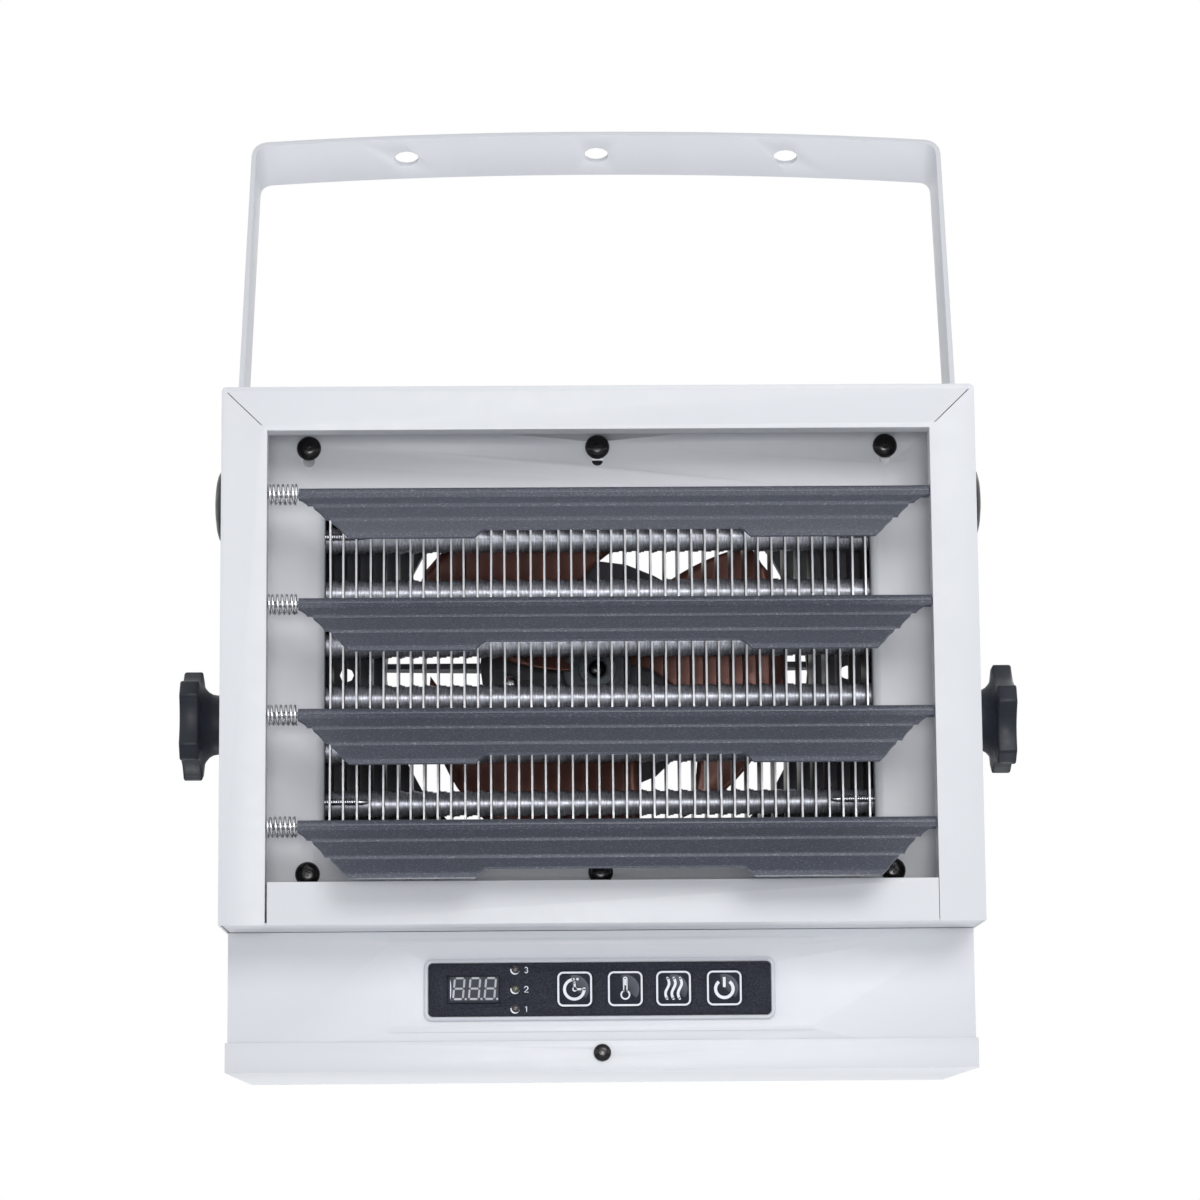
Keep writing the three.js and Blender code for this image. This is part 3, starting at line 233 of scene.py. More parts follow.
def corner_glint(name, base, light):
    """A painted highlight: a soft patch that is palest towards its top right."""
    look = Look(name, Specular_IOR_Level=0.2)
    total = look.combine("ADD", look.along("X"), look.along("Z"))
    half = look.combine("MULTIPLY", total, 0.5)
    look.colour(look.ramp(half, [(0.36, base), (0.85, light)]))
    return look.roughness(look.noise(300, 2), 0.3, 0.4)


WHITE = powder_coat("white_powder_coat", (0.80, 0.815, 0.85), 0.40)
CHARCOAL = textured_coat("charcoal_powder_coat", (0.082, 0.090, 0.115), (0.38, 0.40, 0.46))
ROD = sheet_metal("sheathed_rod", (0.56, 0.58, 0.64), (0.34, 0.5), 0.34, 260, (5, 1, 1))
ROD.set(Metallic=0.75)
# Fins with bright front edges and painted shade on the faces between them.
FIN_WITH_PAINTED_SHADE = fin_metal_with_painted_shade("fin_steel_with_painted_shade", (0.93, 0.94, 0.97), (0.24, 0.22, 0.23), (0.35, 0.5))
GALVANISED = sheet_metal("galvanised_sheet", (0.42, 0.43, 0.45), (0.3, 0.5), 0.14, 90)
DARK_SHEET = moulded("dark_sheet", (0.105, 0.108, 0.125), (0.45, 0.6), spread=0.1)
SPRING = sheet_metal("spring_wire", (0.80, 0.80, 0.82), (0.12, 0.24), 0.05, 500, depth_mm=0.006)
ZINC = sheet_metal("bright_zinc", (0.66, 0.67, 0.70), (0.2, 0.36), 0.1, 420)
HUB = moulded("hub_enamel", (0.22, 0.255, 0.29), (0.22, 0.36), 500, 0.02, 0.12)
COPPER = moulded("copper_brown_lacquer", (0.30, 0.135, 0.11), (0.32, 0.46), 500, 0.02, 0.12)
COPPER.set(Metallic=0.35)
MOTOR = moulded("motor_paint", (0.022, 0.023, 0.028), (0.35, 0.5), 700, 0.03)
BLACK_OXIDE = moulded("black_oxide", (0.030, 0.029, 0.030), (0.16, 0.28), 600, 0.02)
BLACK_OXIDE.set(Metallic=0.7)
KNOB = moulded("knob_moulding", (0.019, 0.023, 0.032), (0.36, 0.5), 1500, 0.02, 0.08)
KNOB.set(Specular_IOR_Level=0.3)
BLACK_PLASTIC = moulded("black_plastic", (0.018, 0.018, 0.021), (0.35, 0.5), 1200, 0.02)
RUBBER = moulded("rubber", (0.020, 0.020, 0.021), (0.65, 0.8), 700, 0.03)
BEZEL = moulded("bezel_moulding", (0.60, 0.62, 0.67), (0.3, 0.42), 900, 0.008, 0.02)
FILM = speckled_film("panel_film", (0.014, 0.016, 0.026), (0.052, 0.056, 0.076), (0.5, 0.6))
KEY_FILM = speckled_film("key_film", (0.013, 0.016, 0.025), (0.034, 0.038, 0.052), (0.45, 0.55))
SMOKED = speckled_film("display_face", (0.052, 0.056, 0.070), (0.082, 0.087, 0.105), (0.45, 0.55))
# White print on the keys and beside the lamps; the same colour also paints the highlights on the lamp rims and the
# display edge.
PRINT_AND_PAINTED_HIGHLIGHT = moulded("white_print_and_painted_highlight", (0.82, 0.84, 0.90), (0.35, 0.5), 900, 0.004, 0.02)
SEGMENT = moulded("display_segment", (0.42, 0.43, 0.47), (0.3, 0.45), 900, 0.004, 0.08)
GLINT = corner_glint("key_glint", (0.020, 0.024, 0.036), (0.085, 0.095, 0.125))
LENS_DARK = moulded("lamp_dark", (0.055, 0.048, 0.055), (0.12, 0.2), 900, 0.004)
LENS_GREEN = moulded("lamp_green", (0.085, 0.088, 0.060), (0.12, 0.2), 900, 0.004)
CIRCUIT = moulded("circuit_board", (0.015, 0.09, 0.04), (0.3, 0.5), 400, 0.02, 0.2)
TERMINAL = moulded("terminal_moulding", (0.62, 0.58, 0.48), (0.35, 0.5))
CERAMIC = moulded("ceramic", (0.68, 0.65, 0.58), (0.4, 0.6), 300, 0.03)

# ---------------------------------------------------------------- pieces


def add_piece(name, mesh, body, look, nodes=()):
    """A piece of the object that rides on a body and may stand for some of its nodes."""
    piece = bpy.data.objects.new(name, mesh)
    bpy.context.scene.collection.objects.link(piece)
    mesh.materials.clear()
    mesh.materials.append(look.material)
    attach(piece, body)
    if nodes:
        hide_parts(*nodes)
    return piece


def mesh_from(name, points, faces, smooth=True):
    mesh = bpy.data.meshes.new(name)
    mesh.from_pydata([tuple(p) for p in points], [], faces)
    mesh.update()
    bm = bmesh.new()
    bm.from_mesh(mesh)
    bmesh.ops.remove_doubles(bm, verts=bm.verts, dist=1e-6)
    bmesh.ops.recalc_face_normals(bm, faces=bm.faces)
    bm.to_mesh(mesh)
    bm.free()
    for polygon in mesh.polygons:
        polygon.use_smooth = smooth
    return mesh


def round_edges(piece, width_mm, segments=3, angle=35):
    """Small rounds on a piece's sharp edges, with flat faces kept flat."""
    bevel = piece.modifiers.new("rounded", "BEVEL")
    bevel.width = width_mm * MM
    bevel.segments = segments
    bevel.limit_method = "ANGLE"
    bevel.angle_limit = math.radians(angle)
    bevel.harden_normals = True
    bevel.miter_outer = "MITER_ARC"
    return bevel


def rounded_copy(node, look, width_mm, segments=3, angle=35, settle=None):
    """A copy of a solid with rounded edges. settle moves its points a little."""
    source = frame["nodes"][node]
    mesh = source.data.copy()
    mesh.name = node + "_finish"
    bm = bmesh.new()
    bm.from_mesh(mesh)
    bmesh.ops.remove_doubles(bm, verts=bm.verts, dist=2e-6)
    for face in bm.faces:
        face.smooth = True
    if settle:
        for vert in bm.verts:
            vert.co = settle(vert.co.copy())
    bm.to_mesh(mesh)
    bm.free()
    piece = add_piece(node + "_finish", mesh, BODY_OF[node], look, [node])
    round_edges(piece, width_mm, segments, angle)
    return piece


def split_edges(piece, angle):
    """Crisp edges where faces meet at more than an angle."""
    piece.modifiers.new("edges", "EDGE_SPLIT").split_angle = math.radians(angle)


def thicken(piece, thickness):
    """Gives a sheet its thickness, half to each side."""
    sheet = piece.modifiers.new("sheet", "SOLIDIFY")
    sheet.thickness = thickness
    sheet.offset = 0


def ring_faces(rings, steps):
    """Faces that join closed rings of so many points each."""
    faces = []
    for i in range(rings - 1):
        for k in range(steps):
            a, b = i * steps + k, i * steps + (k + 1) % steps
            faces.append((a, b, b + steps, a + steps))
    return faces


def grid_faces(rows, across):
    """Faces of an open sheet of rows of points."""
    starts = [i * across + j for i in range(rows - 1) for j in range(across - 1)]
    return [(a, a + 1, a + across + 1, a + across) for a in starts]


def shifted(faces, base):
    return [tuple(base + k for k in face) for face in faces]


def lathe(profile, steps):
    """Points and faces of a profile of (radius, height) pairs in mm, turned round +Z."""
    points = []
    for r, h in profile:
        for k in range(steps):
            a = 2 * math.pi * k / steps
            points.append(Vector((r * MM * math.cos(a), r * MM * math.sin(a), h * MM)))
    return points, ring_faces(len(profile), steps)


def turned_mesh(name, profile, steps, turn, *places):
    """A lathed profile, turned to its axis and set in one or more places, as one mesh."""
    points = []
    faces = []
    for place in places:
        own_points, own_faces = lathe(profile, steps)
        faces += shifted(own_faces, len(points))
        points += [place @ (turn @ point) for point in own_points]
    return mesh_from(name, points, faces)


def axis_turn(direction):
    """The rotation that takes +Z to a direction."""
    return Vector((0, 0, 1)).rotation_difference(Vector(direction)).to_matrix().to_4x4()


TINY = 0.001
ALONG_X, ALONG_Y = axis_turn((1, 0, 0)), axis_turn((0, 1, 0))

# ---------------------------------------------------------------- folded sheet pieces

STRAP_REACH, STRAP_LEAN = 349.5 * MM, math.radians(20.3)
STRAP_UP = Vector((0, math.sin(STRAP_LEAN), math.cos(STRAP_LEAN)))
STRAP_HALF = 0.17
STRAP_SWAY, STRAP_CLOSING = 3.3 * MM, 0.0087
SEAM_OPENING = 0.8 * MM
ARM_RISE, ARM_START, ARM_RAMP = 5.5 * MM, 0.03, 0.028


def hung_strap(point):
    """The strap as it hangs: closed in a touch, swayed to the right and less bowed."""
    share = max(0, (point - Vector((0, 0, TILT_AXIS_Z))).dot(STRAP_UP) / STRAP_REACH)
    rise = 4.9 * (abs(point.x) / STRAP_HALF) ** 2 - 1.9
    point.x += (STRAP_SWAY - STRAP_CLOSING * point.x) * share
    return point + STRAP_UP * rise * share**3 * MM


def open_seam(point):
    """The floor with the seam at the left end of its flange a little open."""
    if point.x < -0.15 and point.y < -0.09:
        point.x += SEAM_OPENING
    return point


def raised_arms(point):
    """The motor yoke with its arms rising a little away from its plate."""
    point.z += ARM_RISE * min(1, max(0, (abs(point.x) - ARM_START) / ARM_RAMP))
    return point


# Node, look, width of the rounds in mm, then segments, angle and settling where they differ.
for row in (
    ("casing_shell", WHITE, 0.3),
    ("bottom_panel", WHITE, 0.3, 3, 35, open_seam),
    ("rear_panel", WHITE, 0.3),
    ("baffle_plate", WHITE, 0.2),
    ("control_box", WHITE, 0.25),
    ("base_cover", WHITE, 0.25),
    ("mounting_bracket", WHITE, 0.45, 3, 40, hung_strap),
    ("air_duct", GALVANISED, 0.2, 2),
    ("fan_shroud", DARK_SHEET, 0.2, 2, 40),
    ("motor_yoke", DARK_SHEET, 0.3, 2, 40, raised_arms),
    ("fan_motor", MOTOR, 0.5, 2, 30),
    ("panel_bezel", BEZEL, 0.35, 3),
    ("friction_washer_left", RUBBER, 0.4, 2, 50),
    ("friction_washer_right", RUBBER, 0.4, 2, 50),
    ("terminal_block", TERMINAL, 0.3, 2),
    ("control_board", CIRCUIT, 0.1, 1),
    ("cable_bushing", BLACK_PLASTIC, 0.3, 2),
    ("thermal_cutout", BLACK_PLASTIC, 0.4, 2),
    ("clamp_nut_left", ZINC, 0.4, 2),
    ("clamp_nut_right", ZINC, 0.4, 2),
    ("motor_shaft", BLACK_OXIDE, 0.3, 2, 50),
):
    rounded_copy(*row)

# ---------------------------------------------------------------- louvers and springs

DROOP = math.radians(35)
CHORD, SLAT = 47 * MM, 1.2 * MM
PIN_Y = FRONT_Y + 6 * MM
SLAT_X = 5.6 * MM
TOP_HALF, BOTTOM_HALF = 148.8 * MM, 125.5 * MM
RIGHT_END = 152.3 * MM
BEADS, BEAD_RISE, BEAD_HALF = (14 * MM, 30 * MM), 1.2 * MM, 2.1 * MM
NICK = 1.6 * MM
CURL = 2.4 * MM
RELIEF_HALF, RELIEF_CHAMFER, RELIEF = 59.5 * MM, 5 * MM, 7 * MM
STEPS = (5 * MM, *BEADS, CHORD - 1 * MM)
PIN_RADIUS, PIN_REACH, PIN_CHAMFER = 1.5, 162, 0.3
SPRING_WIRE, LIVE_TURNS, DEAD_TURNS = 1.15 * MM, 5.0, 0.75


def slat_rise(v):
    """Height of the slat's middle above its plane, so far forward of the pin."""
    rise = 0.0
    for bead in BEADS:
        if abs(v - bead) < BEAD_HALF:
            rise += BEAD_RISE * math.cos(math.pi * (v - bead) / (2 * BEAD_HALF)) ** 2
    if v > CHORD - 2 * MM:
        rise -= 0.6 * (v - CHORD + 2 * MM)
    return rise


def slat_half(v, right):
    """Half length of the slat so far forward: scalloped ends with a nick at each bead."""
    if v < STEPS[0]:
        return RIGHT_END if right and v < 4.4 * MM else TOP_HALF
    i = 0 if v < STEPS[1] else 1 if v < STEPS[2] else 2
    slope = (BOTTOM_HALF - TOP_HALF) / (STEPS[3] - STEPS[0])
    straight = TOP_HALF + slope * (v - STEPS[0])
    t = min(1, (v - STEPS[i]) / (STEPS[i + 1] - STEPS[i]))
    nick = NICK * (1 - t) * min(1, (v - STEPS[i]) / (0.3 * NICK)) if i else 0
    corner = max(0, v - STEPS[3] + 5 * MM)
    return straight - nick - 4.4 * MM * t * (1 - t) - 60 * corner * corner


def slat_rows():
    """The slat's section from its rolled rear edge to its front, as (forward, height, v)."""
    rows = []
    for k in range(19):
        a = math.radians(-70 - 16 * k)
        rows.append((CURL * math.cos(a), CURL * math.sin(a), 0.0))
    for forward, height in ((2.6, 1.35), (3.4, 0.75), (4.2, 0.3)):
        rows.append((forward * MM, height * MM, forward * MM))
    v = 5 * MM
    while v < CHORD - 0.1 * MM:
        rows.append((v, slat_rise(v), v))
        near_bead = any(abs(v + 0.3 * MM - bead) < BEAD_HALF + 0.5 * MM for bead in BEADS)
        v += 0.35 * MM if near_bead else 1.0 * MM
    rows.append((CHORD, slat_rise(CHORD), CHORD))
    return rows


def slat_mesh(name, place):
    columns = [RELIEF_HALF + RELIEF_CHAMFER, RELIEF_HALF + RELIEF_CHAMFER / 2, RELIEF_HALF]
    inner = [-x for x in columns] + [-20 * MM, 20 * MM] + columns[::-1]
    points = []
    rows = slat_rows()
    for forward, height, v in rows:
        left, right = slat_half(v, False), slat_half(v, True)
        xs = [-left, -(left + columns[0]) / 2, *inner, (right + columns[0]) / 2, right]
        for x in xs:
            edge = min(1, max(0, (abs(x) - RELIEF_HALF) / RELIEF_CHAMFER))
            limit = CHORD - RELIEF * (1 - edge)
            rise = height if forward <= limit else slat_rise(limit)
            points.append(place @ Vector((x, -min(forward, limit), rise)))
    return mesh_from(name, points, grid_faces(len(rows), len(inner) + 4))


def pin_profile():
    half = [
        (0, -PIN_REACH),
        (PIN_RADIUS - PIN_CHAMFER, -PIN_REACH),
        (PIN_RADIUS, -PIN_REACH + PIN_CHAMFER),
    ]
    return half + [(r, -h) for r, h in reversed(half)]


def add_spring(number, place_z):
    """A coil with a dead turn at each end."""
    low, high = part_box(f"louver_spring_{number}")
    radius = (high.z - low.z) / 2 - SPRING_WIRE / 2
    close = SPRING_WIRE * 1.05
    live_length = high.x - low.x - SPRING_WIRE - 2 * DEAD_TURNS * close
    curve = bpy.data.curves.new(f"spring_{number}", "CURVE")
    curve.dimensions = "3D"
    curve.bevel_depth = SPRING_WIRE / 2
    curve.bevel_resolution = 3
    curve.use_fill_caps = True
    spline = curve.splines.new("POLY")
    turns = LIVE_TURNS + 2 * DEAD_TURNS
    count = int(turns * 28)
    spline.points.add(count)
    for i in range(count + 1):
        turn = turns * i / count
        dead = (min(DEAD_TURNS, turn) + max(0, turn - turns + DEAD_TURNS)) * close
        live = min(max(0, turn - DEAD_TURNS), LIVE_TURNS) / LIVE_TURNS
        x = low.x + SPRING_WIRE / 2 + dead + live_length * live
        a = 2 * math.pi * turn + 0.6 * number
        y, z = PIN_Y + radius * math.cos(a), place_z + radius * math.sin(a)
        spline.points[i].co = (x, y, z, 1)
    curve.materials.append(SPRING.material)
    piece = bpy.data.objects.new(f"spring_{number}", curve)
    bpy.context.scene.collection.objects.link(piece)
    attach(piece, BODY_OF[f"louver_spring_{number}"])
    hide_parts(f"louver_spring_{number}")


for number in range(1, 5):
    body = f"louver_{number}"
    pivot_z = next(joint for joint in frame["joints"] if joint["child"] == body)["pos_m"][2]
    name = f"slat_{number}"
    place = Matrix.Translation((SLAT_X, PIN_Y, pivot_z)) @ Matrix.Rotation(DROOP, 4, "X")
    slat = add_piece(name, slat_mesh(name, place), body, CHARCOAL, [body])
    thicken(slat, SLAT)
    round_edges(slat, 0.3, 2, 50)
    name = f"slat_pin_{number}"
    pin = turned_mesh(name, pin_profile(), 20, ALONG_X, Matrix.Translation((0, PIN_Y, pivot_z)))
    add_piece(name, pin, body, ZINC)
    add_spring(number, pivot_z)

# ---------------------------------------------------------------- heating element

FIN_COUNT, FIN_PITCH, FIN_METAL = 41, 6.55 * MM, 0.9 * MM
FIN_LOW_Z, FIN_HIGH_Z = 0.114, 0.278
FIN_FRONT_Y, FIN_DEPTH = FRONT_Y + 54 * MM, 32 * MM
SPAN = (FIN_COUNT - 1) / 2 * FIN_PITCH
ROD_RADIUS, ROD_PITCH, ROD_COUNT = 5.7, 26.1 * MM, 6
COLLAR_RADIUS, COLLAR_STEP, COLLAR_LENGTH = 6.6, 0.4, 3.6
COLLAR_FIRST, EDGE = 1.5, 0.02
ROD_Y = FIN_FRONT_Y + FIN_DEPTH / 2
ROD_LOW_Z = CABINET_FLOOR_Z + 63.7 * MM


def fins_mesh():
    """Thin plates, each a touch out of line as pressed fins are."""
    points = []
    faces = []
    levels = 7
    for i in range(FIN_COUNT):
        x0 = i * FIN_PITCH - SPAN
        for level in range(levels):
            share = level / (levels - 1)
            z = FIN_LOW_Z + (FIN_HIGH_Z - FIN_LOW_Z) * share
            lean = 0.35 * MM * math.sin(i * 2.7 + 3.1 * share) * math.cos(i * 1.3)
            for dx, y in ((-1, 0), (1, 0), (1, FIN_DEPTH), (-1, FIN_DEPTH)):
                shift = lean * (1 - y / FIN_DEPTH)
                points.append((x0 + shift + dx * FIN_METAL / 2, FIN_FRONT_Y + y, z))
        base = i * levels * 4
        faces += shifted(ring_faces(levels, 4), base)
        faces.append(tuple(base + k for k in (3, 2, 1, 0)))
        faces.append(tuple(base + (levels - 1) * 4 + k for k in range(4)))
    return mesh_from("element_fins", points, faces, smooth=False)


def rod_profile():
    """A sheathed rod along its axis with the stepped collar of each fin."""
    end = SPAN / MM + 6
    profile = [(TINY, -end), (ROD_RADIUS, -end)]
    for i in range(FIN_COUNT):
        x = (i * FIN_PITCH - SPAN) / MM
        uneven = 0.4 * math.sin(i * 5.3)
        first = x + COLLAR_FIRST + uneven
        last = x + COLLAR_LENGTH - uneven
        profile += [
            (ROD_RADIUS, x),
            (COLLAR_RADIUS, x + EDGE),
            (COLLAR_RADIUS, first),
            (COLLAR_RADIUS - COLLAR_STEP, first + EDGE),
            (COLLAR_RADIUS - COLLAR_STEP, last),
            (ROD_RADIUS, last + EDGE),
        ]
    return [*profile, (ROD_RADIUS, end + 1), (TINY, end + 1)]


def rod_places(x):
    """Where the rods' axes are at one x."""
    heights = [ROD_LOW_Z + i * ROD_PITCH for i in range(ROD_COUNT)]
    return [Matrix.Translation((x, ROD_Y, z)) for z in heights]


def bends_mesh():
    """Return bends that join the rods in pairs on the left."""
    points = []
    faces = []
    steps, sides = 18, 20
    tube = ROD_RADIUS * MM
    for pair in range(0, ROD_COUNT, 2):
        faces += shifted(ring_faces(steps + 1, sides), len(points))
        middle = Vector((-SPAN - 2 * MM, ROD_Y, ROD_LOW_Z + (pair + 0.5) * ROD_PITCH))
        for i in range(steps + 1):
            a = math.pi / 2 + math.pi * i / steps
            spoke = Vector((math.cos(a), 0, math.sin(a)))
            for k in range(sides):
                b = 2 * math.pi * k / sides
                ring = spoke * (ROD_PITCH / 2 + tube * math.cos(b))
                points.append(middle + ring + Vector((0, tube * math.sin(b), 0)))
    return mesh_from("element_bends", points, faces)


TERMINAL_PROFILE = [
    (TINY, 0), (4.6, 0), (4.6, 1.6), (3.6, 2.4), (3.6, 6.2),
    (2.9, 7.0), (2.0, 7.1), (2.0, 12.6), (1.7, 13), (TINY, 13),
]
add_piece("element_fins", fins_mesh(), "cabinet", FIN_WITH_PAINTED_SHADE, ["heating_element"])
rods = turned_mesh("element_rods", rod_profile(), 28, ALONG_X, *rod_places(0))
split_edges(add_piece("element_rods", rods, "cabinet", ROD), 40)
add_piece("element_bends", bends_mesh(), "cabinet", ROD)
places = rod_places(SPAN + 2.5 * MM)
ends = turned_mesh("element_terminals", TERMINAL_PROFILE, 20, ALONG_X, *places)
add_piece("element_terminals", ends, "cabinet", CERAMIC)

# ---------------------------------------------------------------- fan

FAN = Vector((0, FRONT_Y + 97 * MM, 0.201))
BLADES, TIP, SHOULDER = 3, 99.3, 84
SWEEP, CAMBER, BLADE_BACK = 22, 3, 15
LEADING_RADII = (12, 30, 48, 66, 84, 87, 90, 93, 96, TIP)
TRAILING_RADII = (12, 24, 36, 47, 57, 65, 73, 81, 90, TIP)


def leading(r):
    """Angle of the leading edge, which bends back past its shoulder."""
    return 60 + ((SHOULDER - r) * 1.08 if r < SHOULDER else (r - SHOULDER) * 5.8)


def trailing(r):
    """Angle of the trailing edge."""
    return 171 - (r - 57) * 0.28


def finer(radii, parts):
    """The same radii with some more between each two."""
    between = [a + (b - a) * k / parts for a, b in zip(radii, radii[1:]) for k in range(parts)]
    return [*between, radii[-1]]


def blades_mesh():
    """Pressed blades from rows that join their leading and trailing edges."""
    rows = list(zip(finer(LEADING_RADII, 4), finer(TRAILING_RADII, 4)))
    across = 20
    points = []
    faces = []
    for blade in range(BLADES):
        faces += shifted(grid_faces(len(rows), across + 1), len(points))
        for first, last in rows:
            for j in range(across + 1):
                share = j / across
                r = first + (last - first) * share
                angle = leading(first) + (trailing(last) - leading(first)) * share
                pitch = SWEEP * ((angle - 60) / 115 - 0.5)
                camber = CAMBER * math.sin(math.pi * share) * (r / TIP)
                a = math.radians(angle + 120 * blade)
                spot = Vector((r * math.cos(a), BLADE_BACK + camber - pitch, r * math.sin(a)))
                points.append(FAN + spot * MM)
    return mesh_from("fan_blades", points, faces)


HUB_PROFILE = [
    (4.4, 24), (4.4, 0.6), (4.8, 0.1), (5.2, 0), (5.5, 0.9), (8.1, 0.9),
    (8.4, 0), (9.0, 0), (9.4, 0.5), (9.4, 4.6), (10.2, 5.0), (15.8, 5.2),
    (16.6, 5.5), (17, 6.2), (17, 21), (16.4, 22), (4.4, 22),
]
blades = add_piece("fan_blades", blades_mesh(), "fan", COPPER, ["fan_impeller"])
thicken(blades, 1.2 * MM)
hub = turned_mesh("fan_hub", HUB_PROFILE, 48, ALONG_Y, Matrix.Translation(FAN))
split_edges(add_piece("fan_hub", hub, "fan", HUB), 40)

# ---------------------------------------------------------------- screws


HEAD_DOME = ((0.35, 0.985), (0.62, 0.9), (0.82, 0.7), (0.95, 0.4), (1, 0.12), (0.99, 0))


def recess_cutter(height, recess, angle):
    """One arm of a cross recess, tapered downwards."""
    bm = bmesh.new()
    bmesh.ops.create_cube(bm, size=1)
    for vert in bm.verts:
        x, y, z = vert.co
        taper = 0.45 if z < 0 else 1
        reach, width = recess * 2 * taper, recess * 0.42
        vert.co = Vector((x * reach, y * width, z * height * 1.6 + height)) * MM
    bmesh.ops.rotate(bm, verts=bm.verts, matrix=Matrix.Rotation(math.radians(angle), 3, "Z"))
    mesh = bpy.data.meshes.new("cutter")
    bm.to_mesh(mesh)
    bm.free()
    return bpy.data.objects.new("cutter", mesh)


def cross_head(name, radius, height, recess):
    """A domed head that faces +Z with its cross recess, its seat at z = 0."""
    dome = [(r * radius, h * height) for r, h in HEAD_DOME]
    profile = [(TINY, height), *dome, (TINY, 0)]
    upright = Matrix.Identity(4)
    head = bpy.data.objects.new(name, turned_mesh(name, profile, 40, upright, upright))
    cutters = [recess_cutter(height, recess, angle) for angle in (0, 90)]
    for thing in (head, *cutters):
        bpy.context.scene.collection.objects.link(thing)
    for cutter in cutters:
        cut = head.modifiers.new("recess", "BOOLEAN")
        cut.operation = "DIFFERENCE"
        cut.object = cutter
        cut.solver = "EXACT"
    bpy.context.view_layer.update()
    evaluated = head.evaluated_get(bpy.context.evaluated_depsgraph_get())
    result = bpy.data.meshes.new_from_object(evaluated)
    for thing in (head, *cutters):
        bpy.data.objects.remove(thing)
    return result


def shank(radius, length, point, thread):
    """Points and faces of a shank below a head: a thread as close rings, then its point."""
    profile = [(radius - thread, 0)]
    z = -0.6
    while z > -(length - point):
        profile += [(radius - thread, z), (radius, z - 0.35), (radius - thread, z - 0.7)]
        z -= 1.1
    profile += [(radius * 0.75, -length + point * 0.6), (TINY, -length)]
    return lathe(profile, 20)


def screw_mesh(name, head, body, place):
    """A head and a shank as one mesh at a place."""
    bm = bmesh.new()
    bm.from_mesh(head)
    points, faces = body
    verts = [bm.verts.new(p) for p in points]
    for face in faces:
        bm.faces.new([verts[k] for k in face])
    bmesh.ops.transform(bm, matrix=place, verts=bm.verts)
    mesh = bpy.data.meshes.new(name)
    bm.to_mesh(mesh)
    bm.free()
    for polygon in mesh.polygons:
        polygon.use_smooth = True
    return mesh


def add_screw(node, look, head, body, facing, turn):
    """A screw in its solid's place. facing is the way its head looks."""
    low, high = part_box(node)
    axis = Vector(facing)
    reach = Vector([abs(part) for part in facing]).dot(high - low) / 2
    seat = (low + high) / 2 + axis * (reach - max(v.co.z for v in head.vertices))
    place = Matrix.Translation(seat) @ axis_turn(facing) @ Matrix.Rotation(turn, 4, "Z")
    name = node + "_detail"
    mesh = screw_mesh(name, head, body, place)
    split_edges(add_piece(name, mesh, BODY_OF[node], look, [node]), 40)


FRONT = (0, -1, 0)
truss_head = cross_head("truss_head", 6, 3.2, 1.9)
pan_head = cross_head("pan_head", 4.2, 2.4, 1.5)
side_head = cross_head("side_head", 4, 2.2, 1.3)
plate_shank = shank(1.9, 7.8, 2, 0.3)
for number in range(1, 7):
    node = f"baffle_screw_{number}"
    add_screw(node, BLACK_OXIDE, truss_head, plate_shank, FRONT, 0.5 * number)
add_screw("cover_screw", BLACK_OXIDE, pan_head, shank(1.8, 6.8, 1.5, 0.3), FRONT, 0.35)
pointed_shank = shank(2.0, 23.8, 6, 0.5)
for number in range(1, 5):
    outward = (-1 if number % 2 else 1, 0, 0)
    add_screw(f"element_screw_{number}", ZINC, side_head, pointed_shank, outward, 0.3)
for side in ("left", "right"):
    add_screw(f"motor_bolt_{side}", ZINC, pan_head, shank(1.8, 4.6, 0.5, 0.2), FRONT, 0.8)

# ---------------------------------------------------------------- knobs and side plugs

LOBES, LOBE_TIP, LOBE_VALLEY, LOBE_WIDTH = 5, 27.5, 21.5, 11
KNOB_HEIGHT, NECK_HEIGHT = 19.6, 10.3
KNOB_TURNS = {"left": 36, "right": 14}
SOLID_PLUG_RISE = 6 * MM


def knob_outline():
    """The head's outline as (radius, angle): five squared lobes with round valleys between them."""
    half = math.asin(LOBE_WIDTH / 2 / LOBE_TIP)
    step = 2 * math.pi / LOBES
    shoulder = LOBE_TIP - 1
    low = 2 * LOBE_VALLEY - shoulder * math.cos(step / 2 - half)
    side = math.sin(step / 2 - half) * shoulder
    outline = []
    for i in range(LOBES):
        middle = i * step
        flat = 0.72 * half
        for k in range(-3, 4):
            a = flat * k / 3
            outline.append((LOBE_TIP * math.cos(flat) / math.cos(a), middle + a))
        outline += [(LOBE_TIP - 0.45, middle + 0.9 * half), (shoulder - 0.3, middle + half)]
        for k in range(1, 20):
            t = k / 20
            ends = math.cos(step / 2 - half) * shoulder * ((1 - t) ** 2 + t**2)
            along = ends + 2 * low * t * (1 - t)
            aside = side * (2 * t - 1)
            outline.append((math.hypot(along, aside), middle + step / 2 + math.atan2(aside, along)))
        after = middle + step
        outline += [(shoulder - 0.3, after - half), (LOBE_TIP - 0.45, after - 0.9 * half)]
    return outline


# Rings of the neck as (height, radius, roundness), from its foot to the lobed head.
NECK_RINGS = (
    (0, 14.0, 1), (0.3, 14.6, 1), (2.4, 14.7, 1), (4.6, 15.1, 1),
    (6.6, 16.2, 1), (8.2, 17.7, 0.96), (9.4, 19.2, 0.85),
)
